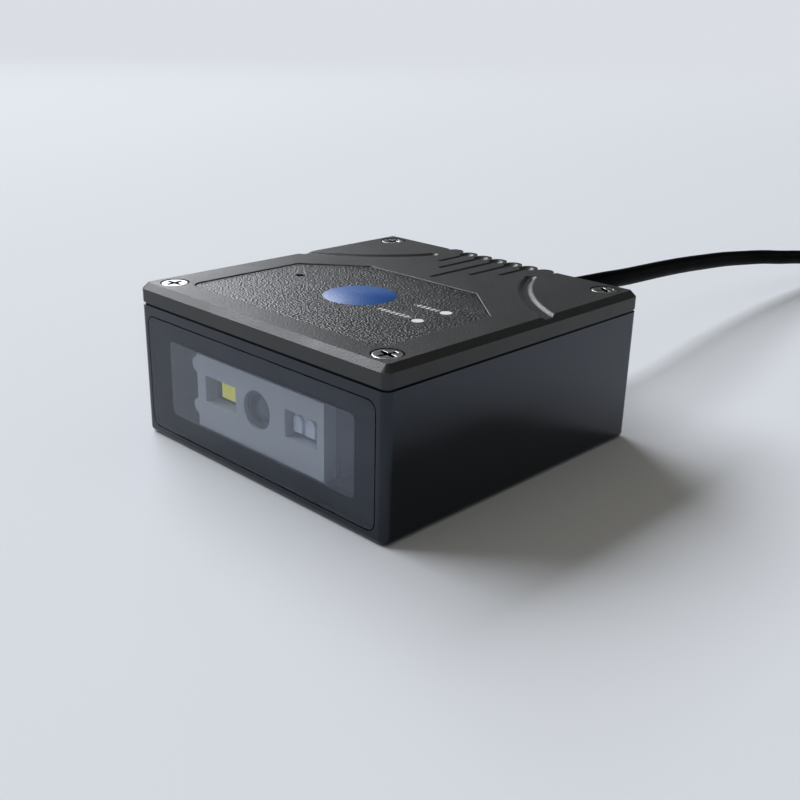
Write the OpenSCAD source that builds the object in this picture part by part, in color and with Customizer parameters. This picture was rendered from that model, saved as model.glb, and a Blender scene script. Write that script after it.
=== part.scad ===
// Compact fixed barcode reader: a moulded base, a grooved cover and a scan engine behind a clear window.
// Millimetres, +Z up. The origin is the middle of the underside, the window faces -Y, the lead leaves at +Y.

/* [Case] */
// Width of the case across the window
body_w = 50; // [46:0.5:60]
// Depth of the case from the window to the rear wall
body_d = 51; // [49:0.5:64]
// Height of the case from the underside to the top of the cover
body_h = 22.6; // [22.3:0.1:26]
// Thickness of the side and rear walls
wall = 1.6; // [1.2:0.1:2]
// Thickness of the floor
floor_t = 1.6; // [1.3:0.1:2.2]
// Thickness of the front wall that carries the window
front_wall = 2.9; // [2.7:0.1:3.6]
// Radius of the upright edges
corner_r = 1.2; // [1:0.1:2]
// Radius of the edges round the underside
bottom_r = 0.8; // [0.4:0.1:1]
// How far the shadow groove under the cover is set in
seam_d = 0.3; // [0.1:0.05:0.4]
// Height of that shadow groove
seam_h = 0.4; // [0.15:0.05:0.5]

/* [Cover] */
// Height of the cover above the seam
cover_h = 2.7; // [2.5:0.1:2.9]
// Thickness of the cover's top plate
plate_t = 1.6; // [1.4:0.1:2]
// Chamfer along the cover's top edges
cover_chamfer = 0.85; // [0.4:0.05:0.95]
// Height of the lip that drops inside the base
lip_h = 1; // [0.6:0.1:1.5]
// Thickness of that lip
lip_t = 1.2; // [0.8:0.1:1.6]
// Clearance between the lip and what it drops past
lip_clear = 0.1; // [0.05:0.05:0.3]

/* [Cover grooves] */
// Spacing of the straight grooves at the rear edge
groove_pitch = 3.05; // [2.6:0.05:3.4]
// Width of a straight groove at the surface
groove_w = 0.8; // [0.6:0.1:1.2]
// Depth of the straight grooves
groove_depth = 0.4; // [0.2:0.05:0.6]
// Length of the middle groove
groove_long = 17.2; // [14:0.1:17.5]
// Length of the two grooves beside it
groove_mid = 12; // [9:0.1:14]
// Length of the outer grooves
groove_short = 8.7; // [5:0.1:9]
// Width of the dimple at the rear end of each groove
dimple_w = 2.3; // [1.5:0.1:2.6]
// Depth of that dimple
dimple_depth = 0.5; // [0.3:0.05:0.7]
// Distance of the dimple's middle from the rear edge
dimple_inset = 2.1; // [1.8:0.1:2.6]
// Width of the round lobe that stands behind each dimple
lobe_w = 2.7; // [2.4:0.1:2.9]
// Distance of those lobes from the rear wall's face
lobe_inset = 0.1; // [0.05:0.05:0.3]
// Height of those lobes below the cover's top
lobe_h = 1.2; // [1:0.1:1.4]
// Width of the notches between the dimples at the rear wall
notch_w = 1.4; // [1.2:0.1:2]
// Length of those notches from the rear wall to their tips
notch_l = 1.6; // [1.2:0.1:1.8]
// Depth of those notches below the cover's top
notch_depth = 0.7; // [0.5:0.1:0.8]
// Depth of the swept channels
sweep_depth = 0.35; // [0.2:0.05:0.6]
// How far a channel's walls lean out from its floor to the cover's top
sweep_lean = 0.5; // [0.3:0.1:0.6]
// Radius of a channel's inner wall
sweep_in_r = 33.4; // [28:0.1:40]
// Distance along the side from the rear edge to that wall
sweep_in_side = 22.5; // [21:0.1:24]
// Distance from the middle to that wall's line at the rear edge
sweep_in_rear = 7; // [6:0.1:8]
// Radius of a channel's outer wall
sweep_out_r = 30.5; // [27:0.1:33]
// Distance along the side from the rear edge to the outer wall
sweep_out_side = 19.8; // [19:0.1:20.5]
// Distance from the middle to the outer wall's line at the rear edge
sweep_out_rear = 8.6; // [8.3:0.1:10]
// Distance of a channel's blind end from the rear edge
sweep_end = 6.1; // [5:0.1:8]

/* [Overlay] */
// Thickness of the printed overlay film
overlay_t = 0.2; // [0.1:0.05:0.25]
// Depth of the recess that takes the film
overlay_recess = 0.35; // [0.25:0.05:0.5]
// Gap round the film in its recess
overlay_gap = 0.05; // [0.05:0.05:0.3]
// Distance of the film from the case's sides
overlay_side = 5.8; // [4.5:0.1:7]
// Distance of the film from the case's front edge
overlay_front = 4.7; // [4.6:0.1:7]
// Length of the film from front to rear
overlay_l = 27; // [22:0.1:28]
// Width cut off each rear corner of the film
overlay_cut_w = 8.6; // [5:0.1:12]
// Length cut off each rear corner of the film
overlay_cut_l = 7.3; // [4:0.1:10]
// Radius of the film's front corners
overlay_r = 2; // [1:0.1:3]

/* [Cover screws] */
// Distance of the screws from the case's sides, front and rear
screw_inset = 3.6; // [3.2:0.1:3.8]
// Core diameter of the M2 screws
screw_core = 1.6; // [1.4:0.1:1.8]
// Head diameter of the cover screws
head_d = 3.8; // [3.5:0.1:4]
// Head height of the cover screws
head_h = 1.4; // [1:0.1:1.4]
// Gap round a head in its counterbore
head_gap = 0.15; // [0.1:0.05:0.2]
// Depth of the counterbores
head_seat = 1.45; // [1.4:0.05:1.6]
// Length of a cover screw under its head
screw_l = 8; // [6:0.5:10]
// Clearance round a screw core in its pilot hole
pilot_clear = 0.05; // [0.02:0.01:0.1]
// Clearance round a screw core where it passes through a piece
pass_clear = 0.3; // [0.2:0.05:0.4]
// Material round a screw core in its post
post_skin = 1.4; // [1.4:0.1:1.7]
// Width of a blade of the cross recess
cross_w = 0.5; // [0.4:0.05:0.7]
// Span of the cross recess
cross_l = 2.2; // [1.8:0.1:2.6]
// Depth of the cross recess
cross_depth = 0.7; // [0.4:0.1:0.9]

/* [Window] */
// Thickness of the clear window panel
window_t = 1.5; // [1.2:0.1:1.6]
// Distance of the panel from the case's sides
window_side = 1.8; // [1.6:0.1:4]
// Distance of the panel from the underside
window_bottom = 1.5; // [0.9:0.1:2]
// Distance of the panel from the seam
window_top = 1.9; // [1.5:0.1:3]
// Radius of the panel's corners
window_r = 1.3; // [0.8:0.1:2]
// Gap round the panel in its recess
window_gap = 0.15; // [0.1:0.05:0.3]
// Thickness of the black adhesive frame behind the panel
gasket_t = 0.2; // [0.1:0.05:0.3]
// Width of the frame at the sides
border_side = 4.2; // [3:0.1:6]
// Width of the frame at the top
border_top = 2.9; // [2:0.1:3]
// Width of the frame at the bottom
border_bottom = 2.6; // [2:0.1:3.5]
// Radius of the clear area's corners
clear_r = 0.8; // [0.4:0.1:1.5]
// How far the wall is cut back behind the frame's inner edge
ledge_back = 0.4; // [0.2:0.1:0.6]

/* [Scan engine] */
// Width of the scan engine
engine_w = 26.4; // [25:0.1:28]
// How much lower the scan engine is than the clear area
engine_under = 0.4; // [0.2:0.1:1]
// How far the engine's middle lies below the middle of the clear area
engine_drop = 0.2; // [0:0.1:0.4]
// Gap between the adhesive frame and the engine's face
engine_gap = 0.15; // [0.1:0.05:0.4]
// Thickness of the engine's front bezel
bezel_t = 2; // [1.6:0.1:2.6]
// Radius of the two round lugs on the bezel's end
lug_r = 1.1; // [0.8:0.1:1.4]
// Spacing of those lugs
lug_pitch = 6.1; // [4:0.1:7]
// How far the lugs stand out from the bezel's end
lug_out = 1; // [0.6:0.1:1.2]
// Distance of the illumination opening from the lens axis
lamp_x = 7.9; // [7.5:0.1:8.4]
// Distance of the aimer opening from the lens axis
aim_x = 8.8; // [8.4:0.1:9.2]
// How far the aimer's facets sit towards the lens axis from that opening's middle
aim_shift = 0.4; // [0:0.1:0.6]
// Width of the illumination opening
lamp_opening_w = 6.7; // [6:0.1:7.2]
// Width of the aimer opening
aim_opening_w = 6.1; // [5.8:0.1:6.6]
// Height of the two openings
opening_h = 3.8; // [3.6:0.1:4.4]
// How far the lens axis lies above the engine's middle
lens_rise = 0.6; // [0.2:0.1:0.8]
// Diameter of the lens barrel
barrel_d = 5.3; // [4.6:0.1:5.8]
// Gap round the barrel in its bores
barrel_gap = 0.05; // [0.03:0.01:0.15]
// Length of the lens barrel
barrel_l = 9; // [7:0.1:10]
// How far the barrel is set back from the bezel's face
barrel_back = 0.5; // [0.2:0.1:1]
// Wall of the lens barrel
barrel_wall = 0.7; // [0.5:0.1:1]
// Length of the barrel's open mouth in front of the lens
barrel_mouth = 0.8; // [0.5:0.1:1.5]
// Thickness of the lens at its edge
lens_edge = 0.8; // [0.5:0.1:1.5]
// Height of the lens's domed front
lens_dome = 0.5; // [0.3:0.1:0.7]
// Thickness of the illumination board
lamp_board_t = 0.8; // [0.6:0.1:1.2]
// Width of the illumination lamp
lamp_w = 3.1; // [2.4:0.1:3.6]
// Height of the illumination lamp
lamp_h = 2.2; // [1.8:0.1:3]
// Thickness of the illumination lamp
lamp_t = 0.6; // [0.4:0.1:0.9]
// Width of one arched facet of the aimer lens
facet_w = 1.7; // [1.2:0.1:2]
// Height of one arched facet
facet_h = 2.4; // [1.8:0.1:2.8]
// Spacing of the two facets
facet_pitch = 2.5; // [2.1:0.05:2.6]
// How far the facets stand off the aimer lens plate
facet_t = 0.5; // [0.3:0.1:0.8]
// Thickness of the aimer lens plate
aim_plate_t = 0.6; // [0.4:0.1:0.8]
// Edge of the aimer lens plate beyond its facets
aim_edge = 0.3; // [0.2:0.1:0.4]
// Length of the optics chassis from front to rear
chassis_l = 10; // [9.5:0.1:11]
// Width of a chassis ear
ear_w = 3.6; // [3.3:0.1:4.2]
// Thickness of a chassis ear
ear_t = 1.6; // [1.2:0.1:2]
// Thickness of the sensor board
sensor_board_t = 1; // [0.8:0.1:1.2]
// Side of the image sensor
sensor_w = 6; // [5:0.1:7]
// Thickness of the image sensor
sensor_t = 1; // [0.7:0.1:1.3]
// Gap round the image sensor in the chassis
sensor_gap = 0.6; // [0.3:0.1:1]
// Head diameter of the engine screws
engine_head_d = 3.2; // [2.8:0.1:3.3]
// Head height of the engine and board screws
small_head_h = 1.1; // [0.8:0.1:1.3]
// Length of an engine screw under its head
engine_screw_l = 4.2; // [3.5:0.1:4.4]

/* [Main board] */
// Thickness of the main board
board_t = 1; // [0.8:0.1:1.2]
// Room between the engine's top and the main board
board_room = 1.2; // [0.8:0.1:1.6]
// Gap between the main board and the walls
board_gap = 0.9; // [0.5:0.1:1.5]
// Head diameter of the board screws
board_head_d = 3.6; // [3.2:0.1:4]
// Length of a board screw under its head
board_screw_l = 5; // [4:0.5:7]
// Radius of a board standoff
standoff_r = 1.6; // [1.4:0.1:1.7]
// Distance of the standoffs from the side walls
standoff_side = 3.2; // [2.9:0.1:3.4]
// Distance of the standoffs in front of and behind the middle
standoff_y = 8.6; // [8:0.1:9]
// Side of the decoder chip
chip_w = 10; // [8:0.5:12]
// Thickness of the decoder chip
chip_t = 1.2; // [0.8:0.1:1.5]
// Distance of the decoder chip behind the middle
chip_y = 6; // [4:0.5:9]
// Side of the sounder
buzzer_w = 5; // [4:0.1:5.4]
// Height of the sounder
buzzer_h = 2.2; // [1.8:0.1:2.6]
// Diameter of the sound holes
sound_d = 1.4; // [1:0.1:1.6]
// Distance of the sounder from the film's left side
buzzer_side = 5.6; // [4:0.1:7]
// Distance of the sounder in front of the middle
buzzer_y = 5.3; // [3:0.1:7]
// Distance of the two status lights from the film's right side
status_side = 5; // [4.5:0.1:6]
// Distance of the lights' midpoint in front of the middle
status_y = 6.7; // [4:0.1:8]
// Spacing of the two status lights
status_pitch = 5.4; // [4.5:0.1:6]
// Diameter of a light pipe's visible end
pipe_d = 1.6; // [1.4:0.1:2]
// Gap round a light pipe in the cover and the film
pipe_gap = 0.05; // [0.03:0.01:0.15]
// Edge of the bar that joins the light pipes, beyond their shafts
pipe_edge = 0.4; // [0.3:0.1:0.6]
// Thickness of that bar
pipe_bar_t = 0.8; // [0.5:0.1:1]
// Gap between a status lamp and its light pipe
pipe_room = 0.2; // [0.1:0.05:0.4]
// Side of a status lamp
status_lamp_w = 1.2; // [0.8:0.1:1.4]
// Height of a status lamp
status_lamp_h = 0.6; // [0.4:0.1:0.8]

/* [Ribbon and harness] */
// Width of the flat ribbon between engine and main board
ribbon_w = 8; // [6:0.5:10]
// Thickness of the ribbon
ribbon_t = 0.2; // [0.15:0.05:0.3]
// Inner radius of the ribbon's bend
ribbon_bend = 1.4; // [1:0.1:2]
// Height and depth of the two ribbon sockets
socket_t = 1.2; // [1:0.1:1.5]
// Straight length of ribbon behind the engine
ribbon_run = 1; // [0.6:0.1:2]
// Width of the harness header
header_w = 8; // [6:0.5:10]
// Length of the harness header
header_l = 4; // [3:0.1:5]
// Height of the harness header
header_h = 3.4; // [3:0.1:4]
// Thickness of the header's walls
header_wall = 0.5; // [0.4:0.1:0.6]
// How deep the harness plug goes into the header
plug_in = 2.5; // [2:0.1:2.6]
// Length of the harness plug outside the header
plug_out = 1.5; // [1:0.1:2]
// Gap round the harness plug in the header
harness_gap = 0.1; // [0.05:0.05:0.2]
// Distance from the harness plug to the grommet
wire_l = 2.6; // [2:0.1:4]
// Diameter of a harness wire
wire_d = 0.9; // [0.6:0.1:1]
// Number of harness wires
wire_count = 4; // [4:1:5]
// Spacing of the harness wires
wire_pitch = 1.25; // [1.1:0.05:1.3]

/* [Mounting] */
// Distance of the mounting inserts from the case's sides
mount_side = 6.5; // [6.3:0.1:7.5]
// Distance of the mounting inserts from the case's front and rear
mount_end = 7; // [6.6:0.1:9]
// Outer diameter of the M3 brass inserts
insert_d = 4.2; // [3.9:0.1:4.6]
// Core diameter of the M3 thread in the inserts
insert_bore = 2.5; // [2.4:0.05:2.6]
// Length of the inserts
insert_l = 3; // [2.5:0.1:3.2]
// Clearance round an insert in its hole
insert_clear = 0.02; // [0.01:0.01:0.05]
// Material round and above an insert
insert_skin = 0.8; // [0.6:0.1:1]

/* [Lead] */
// Diameter of the lead
cable_d = 3.2; // [2.8:0.1:3.6]
// Height of the lead's exit above the underside
exit_h = 15; // [13.5:0.5:15.5]
// Radius of the grommet's flange inside the rear wall
flange_r = 3.4; // [3:0.1:3.6]
// Thickness of that flange
flange_t = 1.4; // [1:0.1:2]
// Radius of the grommet's neck in the rear wall
neck_r = 2.6; // [2.4:0.1:2.8]
// Clearance round the neck and between the flanges and the wall
grommet_clear = 0.05; // [0.02:0.01:0.1]
// Radius of the grommet's collar outside the rear wall
collar_r = 3.4; // [3:0.1:4]
// Thickness of that collar
collar_t = 1.2; // [0.8:0.1:1.6]
// Width of one rib of the grommet's tail
tail_rib = 1; // [0.8:0.1:1.2]
// Width of the grooves between the ribs
tail_slot = 0.6; // [0.4:0.1:0.8]
// Depth of those grooves
tail_slot_depth = 0.5; // [0.3:0.1:0.6]
// Radius of the tail at the collar
tail_r = 2.9; // [2.7:0.1:3.2]
// Radius of the tail at its end
tail_end_r = 2.3; // [2.2:0.1:2.6]

/* [Plug] */
// Width of the plug's moulded body
grip_w = 15.6; // [14:0.1:17]
// Thickness of the moulded body
grip_h = 7.6; // [7:0.1:9]
// Length of the moulded body
grip_l = 22; // [18:0.5:26]
// Radius of the moulded body's long edges
grip_r = 1.8; // [1:0.1:2.5]
// Length of the tapered neck behind the body
neck_l = 8; // [6:0.5:10]
// Radius of that neck where it leaves the body
neck_base_r = 3.2; // [2.8:0.1:3.5]
// Radius of that neck at the lead
neck_tip_r = 2.2; // [2:0.1:2.5]
// Width of the metal shell
shell_w = 12; // [11.9:0.1:12.1]
// Thickness of the metal shell
shell_h = 4.5; // [4.4:0.1:4.6]
// Length of the metal shell
shell_l = 11.8; // [11:0.1:12.5]
// Sheet thickness of the metal shell
shell_t = 0.3; // [0.25:0.05:0.4]
// Side of the latch windows in the shell
latch_w = 2.2; // [1.8:0.1:2.5]
// Distance of the latch windows from the plug's middle line
latch_x = 2.7; // [2.2:0.1:3.2]
// Distance of the latch windows from the shell's mouth
latch_back = 5.6; // [5:0.1:6.5]
// Thickness of the contact tongue
tongue_t = 1.84; // [1.7:0.02:1.9]
// How far the tongue is set back from the shell's mouth
tongue_back = 0.6; // [0.3:0.1:1]
// Gap beside the tongue in the shell
tongue_gap = 0.15; // [0.1:0.05:0.3]

/* [Hidden] */

$fn = 48;
// Overshoot of a cutting body past the face that it opens
cut = 0.1;

half_w = body_w / 2;
half_d = body_d / 2;
front_y = -half_d;
top_z = body_h;
base_h = body_h - cover_h;
plate_z = top_z - plate_t;
inner_x = half_w - wall;
inner_front = front_y + front_wall;
inner_rear = half_d - wall;

post_x = half_w - screw_inset;
post_y = half_d - screw_inset;
post_r = screw_core / 2 + post_skin;
pilot_d = screw_core + 2 * pilot_clear;
pass_d = screw_core + 2 * pass_clear;
pilot_spare = 1;
head_seat_z = top_z - head_seat;
counterbore_d = head_d + 2 * head_gap;

panel_w = body_w - 2 * window_side;
panel_h = base_h - window_bottom - window_top;
panel_z = window_bottom + panel_h / 2;
clear_w = panel_w - 2 * border_side;
clear_h = panel_h - border_top - border_bottom;
clear_z = window_bottom + border_bottom + clear_h / 2;
frame_y = front_y + window_t;
ledge_y = frame_y + gasket_t;

engine_h = clear_h - engine_under;
engine_z = clear_z - engine_drop;
engine_bottom = engine_z - engine_h / 2;
lens_z = engine_z + lens_rise;
bezel_y = ledge_y + engine_gap;
lamp_board_y = bezel_y + bezel_t;
chassis_y = lamp_board_y + lamp_board_t;
sensor_board_y = chassis_y + chassis_l;
engine_rear = sensor_board_y + sensor_board_t;
barrel_y = bezel_y + barrel_back;
barrel_bore = barrel_d + 2 * barrel_gap;
lens_r = barrel_d / 2 - barrel_wall;
sensor_pocket = sensor_w + 2 * sensor_gap;
sensor_room = sensor_board_y - (barrel_y + barrel_l);
ear_x = engine_w / 2 + ear_w / 2;
ear_y = sensor_board_y - ear_w / 2;
aim_plate_w = facet_pitch + facet_w + 2 * aim_edge;
facet_x = aim_x - aim_shift;
aim_plate_h = facet_h + 2 * aim_edge;

board_z = engine_z + engine_h / 2 + board_room;
board_top = board_z + board_t;
board_x = inner_x - board_gap;
board_front = inner_front + board_gap;
board_rear = inner_rear - flange_t - grommet_clear - board_gap;
standoff_x = inner_x - standoff_side;

mount_x = half_w - mount_side;
mount_y = half_d - mount_end;
insert_hole_d = insert_d + 2 * insert_clear;
boss_r = insert_d / 2 + insert_skin;
boss_h = insert_l + insert_skin;

film_z = top_z - overlay_recess;
film_top = film_z + overlay_t;
film_w = body_w - 2 * overlay_side;
film_front = front_y + overlay_front;

pipe_hole_d = pipe_d + 2 * pipe_gap;
status_x = film_w / 2 - status_side;
pipe_bottom = board_top + status_lamp_h + pipe_room;
status_spots = [for (side = [-1, 1]) [status_x, side * status_pitch / 2 - status_y]];
sound_spot = [buzzer_side - film_w / 2, -buzzer_y];

groove_lengths = [groove_long, groove_mid, groove_short];
groove_side = len(groove_lengths) - 1;
groove_r = ball_radius(groove_w, groove_depth);
dimple_r = ball_radius(dimple_w, dimple_depth);
sweep_end_y = half_d - sweep_end;
sweep_in_c = arc_centre([half_w, half_d - sweep_in_side], [sweep_in_rear, half_d], sweep_in_r);
sweep_out_c = arc_centre([half_w, half_d - sweep_out_side], [sweep_out_rear, half_d], sweep_out_r);
sweep_in_x = arc_x(sweep_in_c, sweep_in_r, sweep_end_y);
sweep_out_x = arc_x(sweep_out_c, sweep_out_r, sweep_end_y);

socket_h = 3 * ribbon_t + socket_t;
ribbon_z = engine_z;
ribbon_y = engine_rear + socket_t + ribbon_run + ribbon_bend + ribbon_t / 2;

flange_y = inner_rear - grommet_clear - flange_t;
plug_rear_y = flange_y - wire_l;
header_rear_y = plug_rear_y - plug_out;
harness_z = board_z - header_h / 2;
harness_w = header_w - 2 * (header_wall + harness_gap);
harness_h = header_h - 2 * (header_wall + harness_gap);
collar_y = half_d + grommet_clear;
tail_ribs = 4;
tail_step = tail_rib + tail_slot;
tail_l = tail_ribs * tail_step + tail_rib;
lead_start = collar_y + collar_t + tail_l;

cable_r = cable_d / 2;
tie_t = 0.6;
tie_w = 6;
tie_gap = 0.05;
tie_turns = [60, 240];
turns_across = 4;
layers = 3;
coil_mid_r = 19.2;
coil_in_r = coil_mid_r - turns_across * cable_r;
coil_out_r = coil_mid_r + turns_across * cable_r;
coil_h = layers * cable_d;
coil_c = [27, 188];
coil_turn_r = coil_out_r - cable_r;
first_turn_z = tie_t + cable_r;
last_turn_z = tie_t + coil_h - cable_r;
stub_y = 175;
coil_in_x = coil_c[0] - coil_turn_r;
coil_out_x = coil_c[0] + coil_turn_r;

plug_x = 42;
plug_y = 142;
plug_z = grip_h / 2;
grip_y = plug_y - neck_l;
shell_y = grip_y - grip_l;

// The lead's way from the grommet to the coil: straight out, drooping to the table
lead_path = [
    [0, lead_start, exit_h], [0, 41, 15], [0.1, 48, 14.7], [0, 55, 14.3], [-0.6, 63, 13.6],
    [-1.3, 71, 13], [-2, 79, 12.4], [-2.5, 88, 11.7], [-2.8, 97, 10.9], [-2.9, 106, 10.1],
    [-2.7, 115, 9.1], [-2.2, 123, 8.2], [-1.4, 131, 7.1], [-0.6, 139, 6.1], [0.5, 147, 5],
    [1.5, 155, 4], [2.3, 162, 3.2], [2.8, 169, 2.6], [coil_in_x, stub_y, first_turn_z]
];
// The end of the lead from the coil's top turn down to the plug
tail_path = [
    [coil_out_x, stub_y, last_turn_z], [50.4, 169, 8.2], [48.4, 162, 7], [45.5, 156, 5.5],
    [43, 149, 4.2], [plug_x, plug_y, plug_z]
];

// Radius of the ball whose cap has this width and depth
function ball_radius(width, depth) = (width * width / 4 + depth * depth) / (2 * depth);

// Centre of the arc through two points, on the side away from the case's middle
function arc_centre(p, q, r) =
    let (span = norm(q - p), along = (q - p) / span)
    (p + q) / 2 + sqrt(r * r - span * span / 4) * [along[1], -along[0]];

// Where an arc's left side crosses the line at this y
function arc_x(centre, r, y) = centre[0] - sqrt(r * r - (y - centre[1]) * (y - centre[1]));

// Way of a path at one of its points, level along Y at both ends
function way(path, i) =
    i == 0 ? [0, sign(path[1][1] - path[0][1]), 0] :
    i == len(path) - 1 ? [0, sign(path[i][1] - path[i - 1][1]), 0] :
    (path[i + 1] - path[i - 1]) / norm(path[i + 1] - path[i - 1]);

// Points of one ring of a round tube
function tube_ring(centre, ahead, r, sides) =
    let (across = cross([0, 0, 1], ahead), level = across / norm(across), up = cross(ahead, level))
    [for (k = [0:sides - 1]) centre + r * (cos(360 * k / sides) * level + sin(360 * k / sides) * up)];

// A round tube along a path, as one closed skin of triangles
module swept_tube(path, r, sides) {
    last = len(path) - 1;
    points = [for (i = [0:last]) each tube_ring(path[i], way(path, i), r, sides)];
    skin = [for (i = [0:last - 1], k = [0:sides - 1])
        let (a = i * sides + k, b = i * sides + (k + 1) % sides)
        each [[a, a + sides, b + sides], [a, b + sides, b]]];
    start = [for (k = [0:sides - 1]) k];
    end = [for (k = [sides - 1:-1:0]) last * sides + k];
    polyhedron(points = points, faces = concat(skin, [start, end]));
}

// A rectangle with round corners, about its middle
module rounded_plate(w, h, r) {
    square([w - 2 * r, h], center = true);
    square([w, h - 2 * r], center = true);
    for (x = [-1, 1], y = [-1, 1])
        translate([x * (w / 2 - r), y * (h / 2 - r)]) circle(r);
}

// A rounded plate that stands upright, facing -Y, with its front face at y
module upright_plate(w, h, r, y, z, t) {
    translate([0, y + t, z]) rotate([90, 0, 0]) linear_extrude(t) rounded_plate(w, h, r);
}

// A box by its middle in X and its low corners in Y and Z
module box_at(x, y, z, w, d, h) {
    translate([x - w / 2, y, z]) cube([w, d, h]);
}

// A cylinder along Y from y onwards
module bar_y(x, y, z, r, l) {
    translate([x, y + l, z]) rotate([90, 0, 0]) cylinder(r = r, h = l);
}

// The four places of the cover screws, the standoffs or the mounting inserts
module at_corners(x, y) {
    for (sx = [-1, 1], sy = [-1, 1]) translate([sx * x, sy * y, 0]) children();
}

// A pan-head screw with a cross recess, its seat at z = 0 and its core below
module pan_screw(head, head_t, core_l) {
    difference() {
        union() {
            cylinder(d = head, h = head_t);
            translate([0, 0, -core_l]) cylinder(d = screw_core, h = core_l + cut);
        }
        for (turn = [0, 90])
            rotate([0, 0, turn])
                translate([-cross_l / 2, -cross_w / 2, head_t - cross_depth])
                    cube([cross_l, cross_w, cross_depth + cut]);
    }
}

// Outline of the film: square in front, with its two rear corners cut off
module film_outline(grow) {
    w = film_w / 2 + grow;
    front = film_front - grow;
    rear = film_front + overlay_l + grow;
    r = overlay_r;
    polygon([
        [w, front + r], [w, rear - overlay_cut_l], [w - overlay_cut_w, rear],
        [overlay_cut_w - w, rear], [-w, rear - overlay_cut_l], [-w, front + r]
    ]);
    translate([r - w, front]) square([2 * (w - r), r]);
    for (side = [-1, 1]) translate([side * (w - r), front + r]) circle(r);
}

// The base's outer form: round upright and bottom edges, and the shadow groove at its rim
module base_form() {
    translate([0, 0, bottom_r])
        linear_extrude(base_h - bottom_r - seam_h) rounded_plate(body_w, body_d, corner_r);
    translate([0, 0, base_h - seam_h])
        linear_extrude(seam_h) rounded_plate(body_w - 2 * seam_d, body_d - 2 * seam_d, corner_r - seam_d);
    rotate([90, 0, 0])
        linear_extrude(body_d - 2 * corner_r, center = true) round_foot(body_w);
    rotate([90, 0, 90])
        linear_extrude(body_w - 2 * corner_r, center = true) round_foot(body_d);
    at_corners(half_w - corner_r, half_d - corner_r)
        rotate_extrude() intersection() {
            round_foot(2 * corner_r);
            square([corner_r, bottom_r]);
        }
}

// Section of the lowest layer, with a quarter round at each end
module round_foot(w) {
    translate([bottom_r - w / 2, 0]) square([w - 2 * bottom_r, bottom_r]);
    intersection() {
        for (side = [-1, 1]) translate([side * (w / 2 - bottom_r), bottom_r]) circle(bottom_r);
        translate([-w / 2, 0]) square([w, bottom_r]);
    }
}

// Moulded tub: walls, window recess, screw posts, standoffs and insert bosses in one piece
module base_housing() {
    color("#16181e") difference() {
        union() {
            difference() {
                base_form();
                translate([-inner_x, inner_front, floor_t])
                    cube([2 * inner_x, inner_rear - inner_front, base_h]);
            }
            translate([0, 0, floor_t / 2]) {
                at_corners(post_x, post_y) cylinder(r = post_r, h = base_h - floor_t / 2);
                at_corners(standoff_x, standoff_y) cylinder(r = standoff_r, h = board_z - floor_t / 2);
                at_corners(mount_x, mount_y) cylinder(r = boss_r, h = boss_h - floor_t / 2);
                for (side = [-1, 1])
                    translate([side * ear_x, ear_y, 0])
                        cylinder(d = ear_w, h = engine_bottom - floor_t / 2);
            }
        }
        upright_plate(panel_w + 2 * window_gap, panel_h + 2 * window_gap, window_r + window_gap,
            front_y - cut, panel_z, window_t + gasket_t + cut);
        upright_plate(clear_w + 2 * ledge_back, clear_h + 2 * ledge_back, clear_r + ledge_back,
            ledge_y - cut, clear_z, inner_front - ledge_y + 2 * cut);
        bar_y(0, inner_rear - cut, exit_h, neck_r + grommet_clear, wall + 2 * cut);
        at_corners(post_x, post_y)
            translate([0, 0, head_seat_z - screw_l - pilot_spare])
                cylinder(d = pilot_d, h = base_h);
        at_corners(mount_x, mount_y)
            translate([0, 0, -cut]) cylinder(d = insert_hole_d, h = insert_l + cut);
        at_corners(standoff_x, standoff_y)
            translate([0, 0, board_top - board_screw_l - pilot_spare]) cylinder(d = pilot_d, h = base_h);
        for (side = [-1, 1])
            translate([side * ear_x, ear_y, engine_bottom + ear_t - engine_screw_l - cut])
                cylinder(d = pilot_d, h = base_h);
    }
}

// The cover's outer form, with its top edges chamfered and its corners as cones
module cover_form() {
    flat_h = cover_h - cover_chamfer;
    translate([0, 0, base_h]) {
        linear_extrude(flat_h) rounded_plate(body_w, body_d, corner_r);
        translate([0, 0, flat_h]) {
            rotate([90, 0, 0]) linear_extrude(body_d - 2 * corner_r, center = true) chamfer_bar(body_w);
            rotate([90, 0, 90]) linear_extrude(body_w - 2 * corner_r, center = true) chamfer_bar(body_d);
            at_corners(half_w - corner_r, half_d - corner_r)
                cylinder(h = cover_chamfer, r1 = corner_r, r2 = corner_r - cover_chamfer);
        }
    }
}

// Section of the chamfered layer
module chamfer_bar(w) {
    c = cover_chamfer;
    polygon([[-w / 2, 0], [w / 2, 0], [w / 2 - c, c], [c - w / 2, c]]);
}

// The lip that centres the cover inside the base, left out round the posts and the grommet
module cover_lip() {
    depth = inner_rear - inner_front - 2 * lip_clear;
    middle = (inner_rear + inner_front) / 2;
    translate([0, middle, base_h - lip_h]) difference() {
        linear_extrude(lip_h + cut) difference() {
            square([2 * (inner_x - lip_clear), depth], center = true);
            square([2 * (inner_x - lip_clear - lip_t), depth - 2 * lip_t], center = true);
        }
        translate([0, -middle, -cut])
            at_corners(post_x, post_y) cylinder(r = post_r + lip_clear, h = lip_h + cut);
        box_at(0, depth / 2 - lip_t - cut, -cut, 2 * (flange_r + lip_clear), lip_t + 2 * cut, lip_h + cut);
    }
}

// The hollow under the cover's plate, left full round the four screws
module cover_hollow() {
    w = 2 * (inner_x - lip_clear - lip_t);
    front = inner_front + lip_clear + lip_t;
    rear = inner_rear - lip_clear - lip_t;
    difference() {
        box_at(0, front, base_h - lip_h - cut, w, rear - front, plate_z - base_h + lip_h + cut);
        translate([0, 0, base_h]) at_corners(post_x, post_y) cylinder(r = post_r, h = cover_h);
    }
}

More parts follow.
